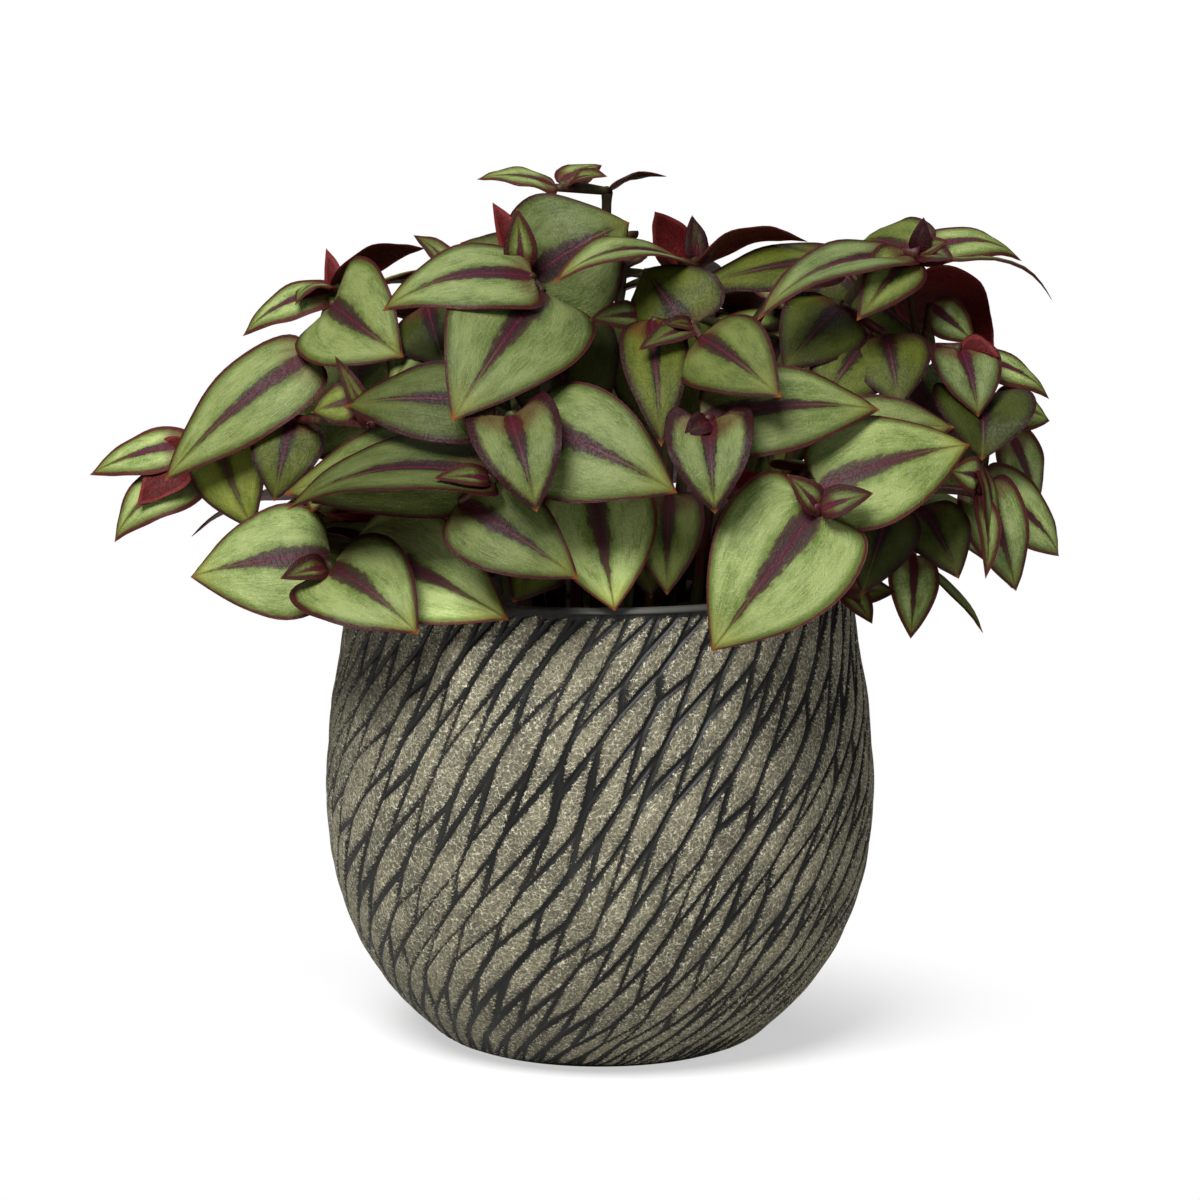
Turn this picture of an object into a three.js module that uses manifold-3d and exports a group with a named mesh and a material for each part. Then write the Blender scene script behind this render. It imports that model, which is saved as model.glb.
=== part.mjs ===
// Potted tradescantia: a carved stoneware pot, its soil, and a leafy stem to a node.
// Millimetres, +Z up, origin on the pot's axis at the surface that the foot stands on.
// The front of the plant faces -Y, and its right side +X.
import * as THREE from 'three';
import Module from 'manifold-3d';

const wasm = await Module();
wasm.setup();

// Pot
const RIM_HEIGHT = 131;
const FOOT_RADIUS = 34;
const WALL = 5;
const FLOOR = 6;
const LIP_DEPTH = 3;
const LIP_RISE = 0.3;
// Outer radius at each height, foot to rim
const POT_PROFILE = [
  [0, 34], [1.2, 41], [3.7, 45.5], [7, 49], [10.5, 52.8], [16, 58], [22, 62.2], [27.6, 65.7],
  [33, 68.2], [39, 70.5], [50, 73.5], [61.5, 74.9], [72.7, 75.4], [84, 74.6], [95, 73.7],
  [106, 71.8], [118, 69.9], [131, 68],
];

// Carving: rows of long facets that lean right as they rise, each row half a facet further
// round than the one below, with grooves between them. CARVED_FROM and CARVED_TO are
// lengths along the profile, and scatter and sway are shares of a facet and of a row. The two
// corners that end a facet's side move up or down together by the pair's share.
const FACETS = 54;
const FACET_ROWS = 6;
const CARVED_FROM = 10;
const CARVED_TO = 146;
const FACET_SLANT = THREE.MathUtils.degToRad(33);
const SHOULDER = 0.17;
const CREST_RISE = 0.45;
const GROOVE_SINK = 0.65;
const CORNER_SCATTER = { round: 0.15, up: 0.05, pair: 0.2 };
const CORNER_SEEDS = { up: 0.5, pair: 0.25 };
const SWAY = { size: 0.35, waves: 3, turn: 1.3 };
const ROW_WAVE = { size: 0.4, waves: 5, turn: 2 };

// Soil
const SOIL_HEIGHT = 119;
const SOIL_GAP = 0.3;
const SOIL_DIP = 2;
const SOIL_SHARES = [0.985, 0.5];
const SOIL_LUMPS = [{ size: 1.2, waves: 3, turn: 2 }, { size: 0.8, waves: 7, turn: 5 }];

// Stems
const STEM_ROOT_RADIUS = 1.8;
const STEM_TIP_RADIUS = 1.2;
const PETIOLE_RADIUS = 1.1;
const SEAT_REACH = 4.5;
const STEM_SIDES = 3;
const STEM_STEPS = 6;
const STEM_CLEARANCE = 0.9;
const STEM_BEND = { at: 0.4, overRim: 12, overReach: 0.12 };
const ROOT_DEPTH = 9;
const ROOT_REACH = 52;
const ROOT_SHARE = 0.5;
const ROOT_INSET = 8;
const ROOT_STEP = 3.2;
const ROOT_TRIES = 60;
const GOLDEN_ANGLE = 2.39996;
const HOLE_GAP = 0.3;
const LEAST_LENGTH = 1e-6;

// Leaves
const BLADE = 0.7;
const CLEAR_BLADE = 2.4;
const LOBE_REACH = 0.12;
const EDGE_DROOP = 0.12;
const WIDEST = [0.45, 1];
const SHIFTS = [0, 3, -3, 6, -6, 9, -9, 12, -12, 16, -16, 20, -20];

// The eye that the front shoots are placed for
const EYE = new THREE.Vector3(0, -1284, 326);

function polar(radius, angle, height) {
  return new THREE.Vector3(radius * Math.cos(angle), radius * Math.sin(angle), height);
}

// A point on the front of the plant: across and up on the plane through the pot's axis,
// as that eye sees it, and how far in front of the plane it lies.
function seen(across, up, forward) {
  const onPlane = new THREE.Vector3(across, 0, up);
  return onPlane.lerp(EYE, -forward / EYE.y);
}

// Facing is given as right, up and toward the eye
function toward(right, up, forward) {
  return new THREE.Vector3(right, -forward, up);
}

// A leaf: base, tip, width, facing, arch near base and tip, fold, and how far the lobes
// reach behind the base
function frontLeaf(base, tip, width, facing, arch, fold, lobe) {
  return {
    base: seen(...base),
    tip: (shift) => seen(tip[0], tip[1], tip[2] + shift),
    facing: toward(...facing),
    width, arch, fold, lobe,
  };
}

// Front shoots, each with its leaves from the largest to the youngest
const FRONT_SHOOTS = {
  lower_left: [
    [[-14, 138, 56], [-24, 122, 62], 18, [0, 0.2, 1], [0.12, 0.12], 0, 0.05],
    [[-2, 154, 59], [4.1, 119.5, 66], 31, [0, 0.15, 1], [0.1, 0.1], 0.1, 0.1],
  ],
  lower_right: [
    [[12, 140, 54], [14, 123, 60], 12, [0, 0.2, 1], [0.12, 0.12], 0, 0.05],
    [[19, 152, 60], [18.4, 124, 66], 19, [-0.1, 0.15, 1], [0.1, 0.1], 0.1, 0.1],
  ],
  front_left: [
    [[-68, 138, 40], [-25, 117, 66], 35, [-0.2, 0.6, 0.8], [0.1, 0.1], 0.05, 0.08],
    [[-74, 135, 46], [-112.6, 129, 42], 33, [-0.2, 0.45, 0.85], [0.14, 0.14], -0.05, 0.05],
    [[-74, 132.5, 56], [-50, 113, 76], 31, [0.1, 0.5, 0.85], [0.15, 0.15], 0.15, 0.18],
    [[-75, 131.5, 56], [-88, 128.5, 64], 8, [0, 0.5, 0.8], [0.1, 0.1], 0.5, 0],
  ],
  left_middle: [
    [[-27.5, 161, 66], [-86.7, 152, 58], 30, [0, 0.5, 0.8], [0.16, 0.16], 0, 0.05],
    [[-30, 154, 76], [-86, 147.6, 66], 24, [0, 0.85, 0.5], [0.19, 0.19], 0.3, 0.1],
    [[-38.5, 150, 74], [-5.8, 128.5, 88], 26, [-0.3, 0.5, 0.8], [0.12, 0.12], 0.1, 0.05],
    [[-60, 152, 58], [-79.5, 149.5, 60], 9, [0, 0.7, 0.6], [0.1, 0.1], 0.2, 0],
    [[-30.3, 156, 80], [-45.7, 156.4, 86], 7, [0, 0.6, 0.8], [0.1, 0.1], 0.5, 0],
  ],
  heart_left: [
    [[-20, 172, 72], [21.2, 152.3, 86], 34, [-0.1, 0.5, 0.85], [0.14, 0.14], -0.05, 0.05],
    [[-28.3, 176.4, 72], [-70, 176, 64], 25, [0, 0.6, 0.8], [0.14, 0.14], 0, 0.05],
    [[-24.5, 173.3, 80], [-17.3, 147, 95], 24, [0, 0.45, 0.9], [0.2, 0.2], 0.35, 0.25],
  ],
  top_left: [
    [[-47, 204, 36], [-42, 187, 48], 24, [-0.2, 0.2, 1], [0.1, 0.1], 0, 0.05],
    [[-20, 212, 42], [8, 226.5, 38], 39, [-0.15, 0.25, 0.95], [0.12, 0.3], -0.1, 0.1],
    [[-15.5, 207.5, 50], [-40.6, 172, 78], 38, [0.1, 0.5, 0.85], [0.16, 0.16], 0.12, 0.1],
    [[-18.2, 211.5, 54], [-59.4, 202.4, 60], 25, [0, 0.75, 0.65], [0.2, 0.24], 0.05, 0.1],
    [[-22, 214, 40], [-38, 221, 32], 18, [-0.1, 0.4, 0.9], [0.1, 0.1], 0, 0],
    [[-20.8, 212.5, 52], [-22.5, 230.4, 50], 9, [0.1, 0, 1], [0.06, 0.06], 0.5, 0],
    [[-21.5, 214, 48], [-29.2, 232, 42], 9, [0.3, 0.2, -1], [0.1, 0.1], 0.3, 0],
  ],
  crown: [
    [[-12, 236, 10], [-33.3, 238.2, 14], 14, [0, 1, 0.35], [0.14, 0.14], 0.1, 0.05],
    [[-11, 237, 6], [0.5, 242, -4], 10, [0, 0.8, 0.6], [0.14, 0.14], 0, 0],
    [[-8, 237, 8], [2, 239, 16], 7, [0, 0.8, 0.6], [0.14, 0.14], 0.3, 0],
    [[2, 235, 5], [18, 239, 2], 9, [0.1, 0.9, -0.3], [0.18, 0.18], 0.1, 0],
  ],
  upper_middle: [
    [[22, 216, 36], [-13, 209.6, 76], 17, [0, 0.9, 0.45], [0.12, 0.2], 0.25, 0.05],
    [[26.7, 216.8, 28], [56.4, 221.3, 26], 16, [0, 0.9, -0.45], [0.25, 0.25], 0, 0.05],
    [[25, 214, 30], [14.9, 229.5, 36], 13, [-0.3, -0.3, -0.9], [0.14, 0.14], 0.2, 0],
    [[26, 215, 30], [25, 228.5, 24], 8, [0.5, 0, 0.9], [0.1, 0.1], 0.2, 0],
  ],
  middle_right: [
    [[14, 200, 56], [16.8, 165, 80], 18, [0, 0.5, 0.8], [0.14, 0.14], 0.1, 0.05],
    [[24.5, 198, 56], [12, 214, 38], 28, [-0.2, 0.3, 1], [0.14, 0.14], 0, 0.1],
    [[27.4, 195, 64], [49.6, 178.6, 92], 25, [-0.1, 0.4, 0.9], [0.14, 0.14], 0, 0.1],
    [[12, 201, 48], [-3, 200, 54], 9, [0, 0.5, 0.9], [0.1, 0.1], 0.1, 0],
    [[24.5, 195.6, 62], [10.3, 191.6, 72], 8, [0, 0.6, 0.8], [0.1, 0.1], 0.4, 0.05],
    [[25.5, 198, 60], [17, 199, 66], 5, [0, 0.6, 0.8], [0.1, 0.1], 0.4, 0],
  ],
  heart_right: [
    [[29.4, 176.5, 74], [76.5, 175.3, 66], 27, [0, 0.55, 0.85], [0.15, 0.15], 0.05, 0.05],
    [[31, 170.6, 84], [31.6, 146.5, 97], 23, [-0.1, 0.45, 0.9], [0.2, 0.2], 0.35, 0.25],
    [[30, 172, 84], [23, 168, 90], 7, [0, 0.5, 0.8], [0.1, 0.1], 0.4, 0],
  ],
  front_right: [
    [[63, 167, 60], [97, 170.5, 58], 22, [0, 0.5, 0.85], [0.16, 0.16], 0, 0.05],
    [[60, 153.5, 76], [101.2, 165.6, 62], 32, [-0.1, 0.5, 0.85], [0.14, 0.14], 0, 0.08],
    [[59.7, 147.5, 82], [30.7, 108.4, 90], 38, [0.2, 0.45, 0.9], [0.16, 0.16], 0.08, 0.15],
    [[59, 147.5, 84], [51.2, 157.5, 86], 8, [0.3, 0.3, 0.9], [0.1, 0.1], 0.5, 0],
    [[60.5, 147.5, 84], [75, 152.3, 86], 9, [0, 0.5, 0.8], [0.1, 0.1], 0.5, 0],
  ],
  upper_right: [
    [[66, 216, 22], [23.7, 207.5, 52], 17, [0, 0.7, 0.7], [0.1, 0.12], 0, 0.05],
    [[84, 215, 33], [70, 199.7, 52], 16, [0.2, 0.5, 0.8], [0.14, 0.14], 0.2, 0],
    [[83.4, 217.7, 32], [42.5, 199.4, 58], 18, [0, 0.9, 0.45], [0.12, 0.26], 0.25, 0.05],
    [[85, 216.8, 34], [123, 205.5, 38], 10, [0.4, 0.9, 0.05], [0.02, 0.36], 0, 0.05],
    [[86.5, 219, 28], [114.7, 216, 18], 14, [0, 0.8, 0.6], [0.25, 0.25], 0, 0.05],
    [[85.5, 219, 30], [71, 221, 8], 22, [0.1, 0.4, 0.9], [0.14, 0.14], 0.1, 0.1],
    [[86, 219, 33], [88, 228, 34], 6, [0, 0.2, 1], [0.1, 0.1], 0.3, 0],
    [[87, 219, 31], [95, 221.6, 34], 6, [0, 0.7, 0.7], [0.1, 0.1], 0.3, 0],
    [[87, 218, 32], [96.5, 216.4, 38], 8, [0, 0.7, 0.7], [0.1, 0.1], 0.3, 0],
  ],
  right_side: [
    [[84, 210, 14], [107.5, 193, 14], 28, [0.3, 0.6, -0.7], [0.2, 0.3], 0, 0.05],
    [[90, 204, 16], [102.5, 193.5, 18], 12, [0.1, 0.3, 0.9], [0.1, 0.1], 0, 0],
    [[99, 191, 28], [103.5, 173.3, 38], 19, [0.2, 0.3, 0.9], [0.14, 0.14], 0.2, 0.2],
    [[100, 190, 22], [122.7, 178.3, 12], 13, [0.2, 0.7, 0.6], [0.14, 0.2], 0, 0.05],
    [[98.5, 191.8, 28], [109, 190, 32], 9, [0, 0.3, -1], [0.12, 0.12], 0.3, 0],
  ],
  right_low: [
    [[104, 179, 28], [104.6, 161.4, 44], 28, [0.1, 0.5, 0.8], [0.2, 0.2], 0.4, 0.1],
    [[108, 177, 26], [123, 172.2, 20], 14, [0, 0.6, 0.8], [0.14, 0.14], 0, 0],
    [[112, 169, 16], [119.4, 148, 6], 14, [0.3, 0.2, 0.9], [0.14, 0.14], 0, 0.05],
  ],
  right_bottom: [
    [[104, 161, 38], [105.5, 133, 48], 12, [0.8, 0.3, 0.3], [0.14, 0.14], 0.1, 0],
    [[104.5, 156, 30], [126, 134.8, 14], 19, [0.3, 0.4, 0.85], [0.14, 0.18], 0, 0.05],
    [[104.8, 154.8, 34], [114.5, 125.1, 34], 18, [0.1, 0.3, 0.95], [0.12, 0.12], 0.1, 0.1],
    [[104, 157, 42], [95.5, 158.5, 50], 10, [-0.2, 0.2, 1], [0.1, 0.1], 0.2, 0],
    [[104, 152, 42], [106, 128.5, 52], 8, [0.5, 0.3, 0.8], [0.14, 0.14], 0.4, 0],
  ],
  right_under: [
    [[80, 150, 50], [72, 124, 62], 20, [0, 0.2, 1], [0.12, 0.12], 0, 0.05],
    [[86, 135, 28], [85.6, 111.8, 36], 14, [0.1, 0.2, 1], [0.14, 0.14], 0.2, 0.05],
    [[67, 124.5, 46], [81.5, 125, 42], 8, [0, 0.5, 0.9], [0.1, 0.1], 0.3, 0],
    [[68, 125, 44], [75, 116, 52], 8, [0.3, 0.3, 0.9], [0.1, 0.1], 0.3, 0],
    [[88, 148.5, 44], [98.7, 128.5, 58], 20, [0.2, 0.4, 0.9], [0.12, 0.12], 0.1, 0.05],
  ],
  left_top: [
    [[-78, 191, 26], [-119.4, 155.5, 28], 25, [-0.2, 0.5, 0.85], [0.13, 0.13], 0, 0.05],
    [[-72.7, 204, 22], [-53.7, 189.7, 44], 32, [-0.3, 0.3, 0.9], [0.14, 0.14], 0.3, 0.15],
    [[-73.8, 207, 16], [-97.4, 195.5, 14], 13, [-0.1, 0.7, 0.65], [0.2, 0.2], 0, 0.05],
    [[-73, 207, 18], [-47.6, 219.5, 8], 15, [-0.2, 0.7, -0.6], [0.2, 0.2], 0, 0.1],
    [[-73, 209, 14], [-83, 204, 24], 12, [-0.3, 0.9, 0.1], [0.3, 0.4], 0, 0],
    [[-73, 208, 16], [-74.5, 219.5, 8], 6, [0.3, 0.2, -1], [0.14, 0.14], 0.2, 0],
  ],
  left_far: [
    [[-105, 168, 18], [-95, 142, 30], 22, [-0.2, 0.1, 1], [0.12, 0.12], 0, 0.1],
    [[-112, 166, 10], [-139.8, 157.3, 4], 14, [0, 0.6, 0.8], [0.14, 0.14], 0, 0.05],
    [[-113, 167, 12], [-126.9, 149, 18], 15, [0.6, 0.2, -0.75], [0.14, 0.14], 0.1, 0],
    [[-110, 157, 6], [-133.3, 138.7, 10], 17, [-0.4, 0.4, 0.8], [0.3, 0.36], 0, 0.05],
  ],
  left_inner: [
    [[-84, 173, 30], [-89.4, 150, 42], 20, [-0.1, 0.1, 1], [0.12, 0.12], 0, 0.05],
    [[-66, 178, 46], [-79, 174.5, 44], 12, [0, 0.4, 0.9], [0.14, 0.14], 0, 0],
    [[-63, 171, 54], [-72.4, 190.2, 50], 6, [0.3, 0.2, 0.9], [0.06, 0.06], 0.4, 0],
  ],
  inner_left: [
    [[-58, 194, 0], [-86, 160, 6], 34, [-0.2, 0.3, 1], [0.12, 0.12], 0, 0.08],
    [[-12, 202, 6], [-8, 160, 24], 32, [0, 0.3, 1], [0.12, 0.12], 0, 0.08],
  ],
  inner_right: [
    [[64, 214, 0], [92, 190, 4], 30, [0.2, 0.3, 1], [0.12, 0.12], 0, 0.08],
    [[84, 184, 0], [104, 150, 6], 34, [0.2, 0.3, 1], [0.12, 0.12], 0, 0.08],
    [[48, 194, 8], [46, 150, 26], 32, [0, 0.3, 1], [0.12, 0.12], 0, 0.08],
    [[16, 204, 6], [20, 160, 26], 32, [0, 0.3, 1], [0.12, 0.12], 0, 0.08],
  ],
  right_inner: [
    [[74, 196, 34], [60, 176, 50], 26, [-0.1, 0.3, 0.9], [0.12, 0.12], 0, 0.05],
    [[78, 196, 36], [82, 176, 50], 22, [0, 0.3, 0.9], [0.12, 0.12], 0, 0.05],
    [[66, 204, 30], [50, 186, 46], 24, [-0.1, 0.4, 0.9], [0.12, 0.12], 0, 0.05],
  ],
};

// Shoots of the back and the sides: rings of them, each ring a height, a reach from the
// axis, a first and last bearing, a count and the length of its leaves
const BACK_RINGS = [
  { name: 'back_low', height: 146, reach: 82, from: 14, to: 154, count: 5, leaf: 54, leaves: 5 },
  { name: 'back_middle', height: 182, reach: 72, from: 14, to: 172, count: 5, leaf: 50, leaves: 5 },
  { name: 'back_high', height: 210, reach: 46, from: 40, to: 156, count: 4, leaf: 46, leaves: 5 },
  { name: 'back_crown', height: 220, reach: 16, from: 110, to: 110, count: 1, leaf: 40, leaves: 5 },
  { name: 'side_low', height: 140, reach: 70, from: -14, to: 196, count: 2, leaf: 38, leaves: 4 },
  { name: 'side_middle', height: 160, reach: 70, from: -24, to: 206, count: 2, leaf: 46, leaves: 5 },
  { name: 'side_high', height: 206, reach: 46, from: 2, to: 206, count: 2, leaf: 44, leaves: 5 },
];
// Leaves of a ring, grown and young, as shares of its leaf's length or of the stem
const LEAF_STEP = 0.12;
const SIZE_LOSS = 0.06;
const SPREAD_LOSS = 0.15;
const GROWN = {
  size: 1, spread: 1.1, droop: -0.45, width: 0.68, arch: [0.14, 0.2], fold: 0.06, lobe: 0.06,
};
const YOUNG = {
  size: 0.4, spread: 0.3, droop: 0.35, width: 0.45, arch: [0.1, 0.1], fold: 0.4, lobe: 0,
};
const STRAY = { bearing: 5, reach: 5, height: 5, spread: 0.25, droop: 0.3, length: 0.1, fold: 0.08 };
const RING_FACING = { out: 0.9, side: 0.3 };
// Where the stray values of each shoot and leaf stand in the scatter
const SEEDS = { ring: 17, shoot: 5, first: 1, reach: 7, height: 11, spread: 3, droop: 5, fold: 2 };
const GOLDEN = 0.6180339887;

// Even scatter between -1 and 1, the same on each run
function scatter(index) {
  return 2 * ((index * GOLDEN) % 1) - 1;
}

// Rougher scatter between -1 and 1, from the far digits of a sine
function jump(index) {
  const far = 43758.5453 * Math.sin(12.9898 * index);
  return 2 * (far - Math.floor(far)) - 1;
}

// A shoot of a ring: leaves alternate left and right of it, droop outwards and get
// smaller toward its end
function ringShoot(ring, order, seed) {
  const share = ring.count > 1 ? order / (ring.count - 1) : 0.5;
  const bearing = THREE.MathUtils.degToRad(ring.from + (ring.to - ring.from) * share
    + STRAY.bearing * scatter(seed));
  const out = new THREE.Vector3(Math.cos(bearing), Math.sin(bearing), 0);
  const across = new THREE.Vector3(-out.y, out.x, 0);
  const up = new THREE.Vector3(0, 0, 1);
  const reach = ring.reach + STRAY.reach * scatter(seed + SEEDS.reach);
  const height = ring.height + STRAY.height * scatter(seed + SEEDS.height);
  const apex = out.clone().multiplyScalar(reach).addScaledVector(up, height);
  const stem = stemCurve([{ base: apex }], rootPoint([{ base: apex }], 0));
  const leaves = [];
  for (let i = 0; i < ring.leaves; i += 1) {
    const last = i === ring.leaves - 1;
    const form = last ? YOUNG : GROWN;
    const loss = last ? 0 : i;
    const base = stem.getPoint(1 - LEAF_STEP * (ring.leaves - 1 - i));
    const side = i % 2 ? 1 : -1;
    const spread = (form.spread - SPREAD_LOSS * loss) * side
      + STRAY.spread * scatter(seed * SEEDS.spread + i);
    const droop = form.droop + STRAY.droop * scatter(seed * SEEDS.droop + i);
    const length = ring.leaf * (form.size - SIZE_LOSS * loss) * (1 + STRAY.length * scatter(seed + i));
    const way = out.clone().addScaledVector(across, spread).addScaledVector(up, droop).normalize();
    const tip = base.clone().addScaledVector(way, length);
    leaves.push({
      base,
      tip: (shift) => tip.clone().addScaledVector(up, shift),
      facing: up.clone().addScaledVector(out, RING_FACING.out)
        .addScaledVector(across, RING_FACING.side * side),
      width: length * form.width,
      arch: form.arch,
      fold: form.fold + STRAY.fold * scatter(seed + SEEDS.fold * i),
      lobe: form.lobe,
      ofRing: true,
    });
  }
  return leaves;
}

// Solids are joined and cut as manifolds
function solidFrom(points, faces) {
  const vertProperties = new Float32Array(points.flatMap((p) => [p.x, p.y, p.z]));
  const triVerts = new Uint32Array(faces.flat());
  return new wasm.Manifold(new wasm.Mesh({ numProp: 3, vertProperties, triVerts }));
}

// Sets a leaf's frame: its chord, the side it faces and the way across it
function leafFrame(leaf, shift) {
  const tip = leaf.tip(shift);
  const chord = tip.clone().sub(leaf.base);
  const length = chord.length();
  chord.divideScalar(length);
  const normal = leaf.facing.clone().addScaledVector(chord, -leaf.facing.dot(chord)).normalize();
  const across = normal.clone().cross(chord);
  const first = leaf.base.clone().addScaledVector(chord, length / 3)
    .addScaledVector(normal, leaf.arch[0] * length);
  const second = leaf.base.clone().addScaledVector(chord, 2 * length / 3)
    .addScaledVector(normal, leaf.arch[1] * length);
  return { midrib: new THREE.CubicBezierCurve3(leaf.base, first, second, tip), across, length };
}

// A point of a blade and its normal: along is 0 at the base and 1 at the tip, and side
// runs from -1 to 1 across it
function bladePoint(leaf, frame, along, side) {
  const [p, q] = WIDEST;
  const widest = (p / (p + q)) ** p * (q / (p + q)) ** q;
  const half = leaf.width / 2 * along ** p * (1 - along) ** q / widest;
  const reach = leaf.lobe * side * side * along / LOBE_REACH * Math.exp(1 - along / LOBE_REACH);
  const place = along - reach;
  const onRib = Math.min(Math.max(place, 0), 1);
  const { v0, v1, v2, v3 } = frame.midrib;
  const rest = 1 - onRib;
  const tangent = v1.clone().sub(v0).multiplyScalar(3 * rest * rest)
    .addScaledVector(v2.clone().sub(v1), 6 * rest * onRib)
    .addScaledVector(v3.clone().sub(v2), 3 * onRib * onRib);
  const point = frame.midrib.getPoint(onRib).addScaledVector(tangent, place - onRib);
  const normal = tangent.normalize().cross(frame.across);
  const rise = half * (leaf.fold * Math.abs(side) - EDGE_DROOP * side * side);
  point.addScaledVector(frame.across, side * half).addScaledVector(normal, rise);
  return { point, normal };
}

// Rows and columns of a blade's grid, by the least length it is for
const GRIDS = [
  { least: 42, rows: [0.08, 0.3, 0.65], sides: [-1, -0.5, 0, 0.5, 1] },
  { least: 17, rows: [0.1, 0.35, 0.7], sides: [-1, 0, 1] },
  { least: 0, rows: [0.35], sides: [-1, 0, 1] },
];
const RING_GRID = { least: 22, rows: [0.14, 0.55], sides: [-1, 0, 1] };

// A blade as a closed solid, two like grids a thickness apart and a rim between them
function bladeSolid(leaf, shift, thickness) {
  const frame = leafFrame(leaf, shift);
  const grid = leaf.ofRing && frame.length > RING_GRID.least
    ? RING_GRID : GRIDS.find(({ least }) => frame.length >= least);
  const columns = grid.sides.length;
  const middle = (columns - 1) / 2;
  const places = [[0, 0]];
  grid.rows.forEach((along) => grid.sides.forEach((side) => places.push([along, side])));
  places.push([1, 0]);
  const last = places.length - 1;
  const points = [];
  for (const lift of [thickness / 2, -thickness / 2]) {
    for (const [along, side] of places) {
      const at = bladePoint(leaf, frame, along, side);
      points.push(at.point.addScaledVector(at.normal, lift));
    }
  }
  const upper = [];
  for (let j = 0; j < columns - 1; j += 1) {
    upper.push([0, 1 + j, 2 + j]);
    const row = last - columns + j;
    upper.push([last, row + 1, row]);
    for (let i = 0; i < grid.rows.length - 1; i += 1) {
      const a = 1 + i * columns + j;
      const b = a + columns;
      if (j < middle) upper.push([a, b, b + 1], [a, b + 1, a + 1]);
      else upper.push([a, b, a + 1], [a + 1, b, b + 1]);
    }
  }
  const left = grid.rows.map((_, i) => 1 + i * columns);
  const right = grid.rows.map((_, i) => (i + 1) * columns).reverse();
  const edge = [0, ...left, last, ...right];
  const under = last + 1;
  const faces = upper.flatMap(([a, b, c]) => [[a, b, c], [c + under, b + under, a + under]]);
  edge.forEach((a, i) => {
    const b = edge[(i + 1) % edge.length];
    faces.push([b, a, a + under], [b, a + under, b + under]);
  });
  return solidFrom(points, faces);
}

// The level way across a tube that runs from one point to another
function levelAcross(start, end) {
  const across = new THREE.Vector3(start.y - end.y, end.x - start.x, 0);
  return across.length() > LEAST_LENGTH ? across.normalize() : new THREE.Vector3(1, 0, 0);
}

// A tube along a curve in an upright plane, thinner toward its end
function tubeSolid(curve, startRadius, endRadius, steps) {
  const points = [];
  const faces = [];
  const start = curve.getPoint(0);
  const end = curve.getPoint(1);
  const level = levelAcross(start, end);
  for (let i = 0; i <= steps; i += 1) {
    const centre = curve.getPoint(i / steps);
    const tangent = curve.getTangent(i / steps);
    const one = level.clone().cross(tangent).normalize();
    const two = tangent.clone().cross(one);
    const radius = startRadius + (endRadius - startRadius) * i / steps;
    for (let k = 0; k < STEM_SIDES; k += 1) {
      const angle = 2 * Math.PI * k / STEM_SIDES;
      points.push(centre.clone().addScaledVector(one, radius * Math.cos(angle))
        .addScaledVector(two, radius * Math.sin(angle)));
    }
  }
  for (let k = 0; k < STEM_SIDES; k += 1) {
    const next = (k + 1) % STEM_SIDES;
    for (let i = 0; i < steps; i += 1) {
      const a = i * STEM_SIDES;
      const b = a + STEM_SIDES;
      faces.push([a + k, a + next, b + next], [a + k, b + next, b + k]);
    }
    const startCentre = points.length;
    const lastRing = steps * STEM_SIDES;
    faces.push([startCentre, next, k]);
    faces.push([startCentre + 1, lastRing + k, lastRing + next]);
  }
  points.push(start, end);
  return solidFrom(points, faces);
}

function rootPoint(leaves, attempt) {
  const apex = leaves[leaves.length - 1].base;
  const reach = Math.min(ROOT_REACH - ROOT_INSET, ROOT_SHARE * Math.hypot(apex.x, apex.y));
  const root = polar(reach, Math.atan2(apex.y, apex.x), SOIL_HEIGHT - ROOT_DEPTH);
  return root.add(polar(ROOT_STEP * Math.sqrt(attempt), attempt * GOLDEN_ANGLE, 0));
}

// The stem of a shoot rises from the soil and arches out to the shoot's end
function stemCurve(leaves, root) {
  const apex = leaves[leaves.length - 1].base;
  const out = new THREE.Vector2(apex.x - root.x, apex.y - root.y).length();
  const bend = root.clone().lerp(apex, STEM_BEND.at);
  bend.z = Math.max(apex.z, RIM_HEIGHT + STEM_BEND.overRim) + STEM_BEND.overReach * out;
  return new THREE.QuadraticBezierCurve3(root, bend, apex);
}

function nearestOn(stem, base) {
  let best = stem.getPoint(1);
  for (let i = 2; i < STEM_STEPS; i += 1) {
    const piece = new THREE.Line3(stem.getPoint(i / STEM_STEPS), stem.getPoint((i + 1) / STEM_STEPS));
    const on = piece.closestPointToPoint(base, true, new THREE.Vector3());
    if (on.distanceTo(base) < best.distanceTo(base) - 1e-9) best = on;
  }
  return best;
}

// A leaf close to the stem starts on it, and one further off has a petiole
function seatLeaves(stem, leaves) {
  return leaves.map((leaf) => {
    const on = nearestOn(stem, leaf.base);
    return on.distanceTo(leaf.base) < SEAT_REACH ? { ...leaf, base: on } : { ...leaf, on };
  });
}

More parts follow.
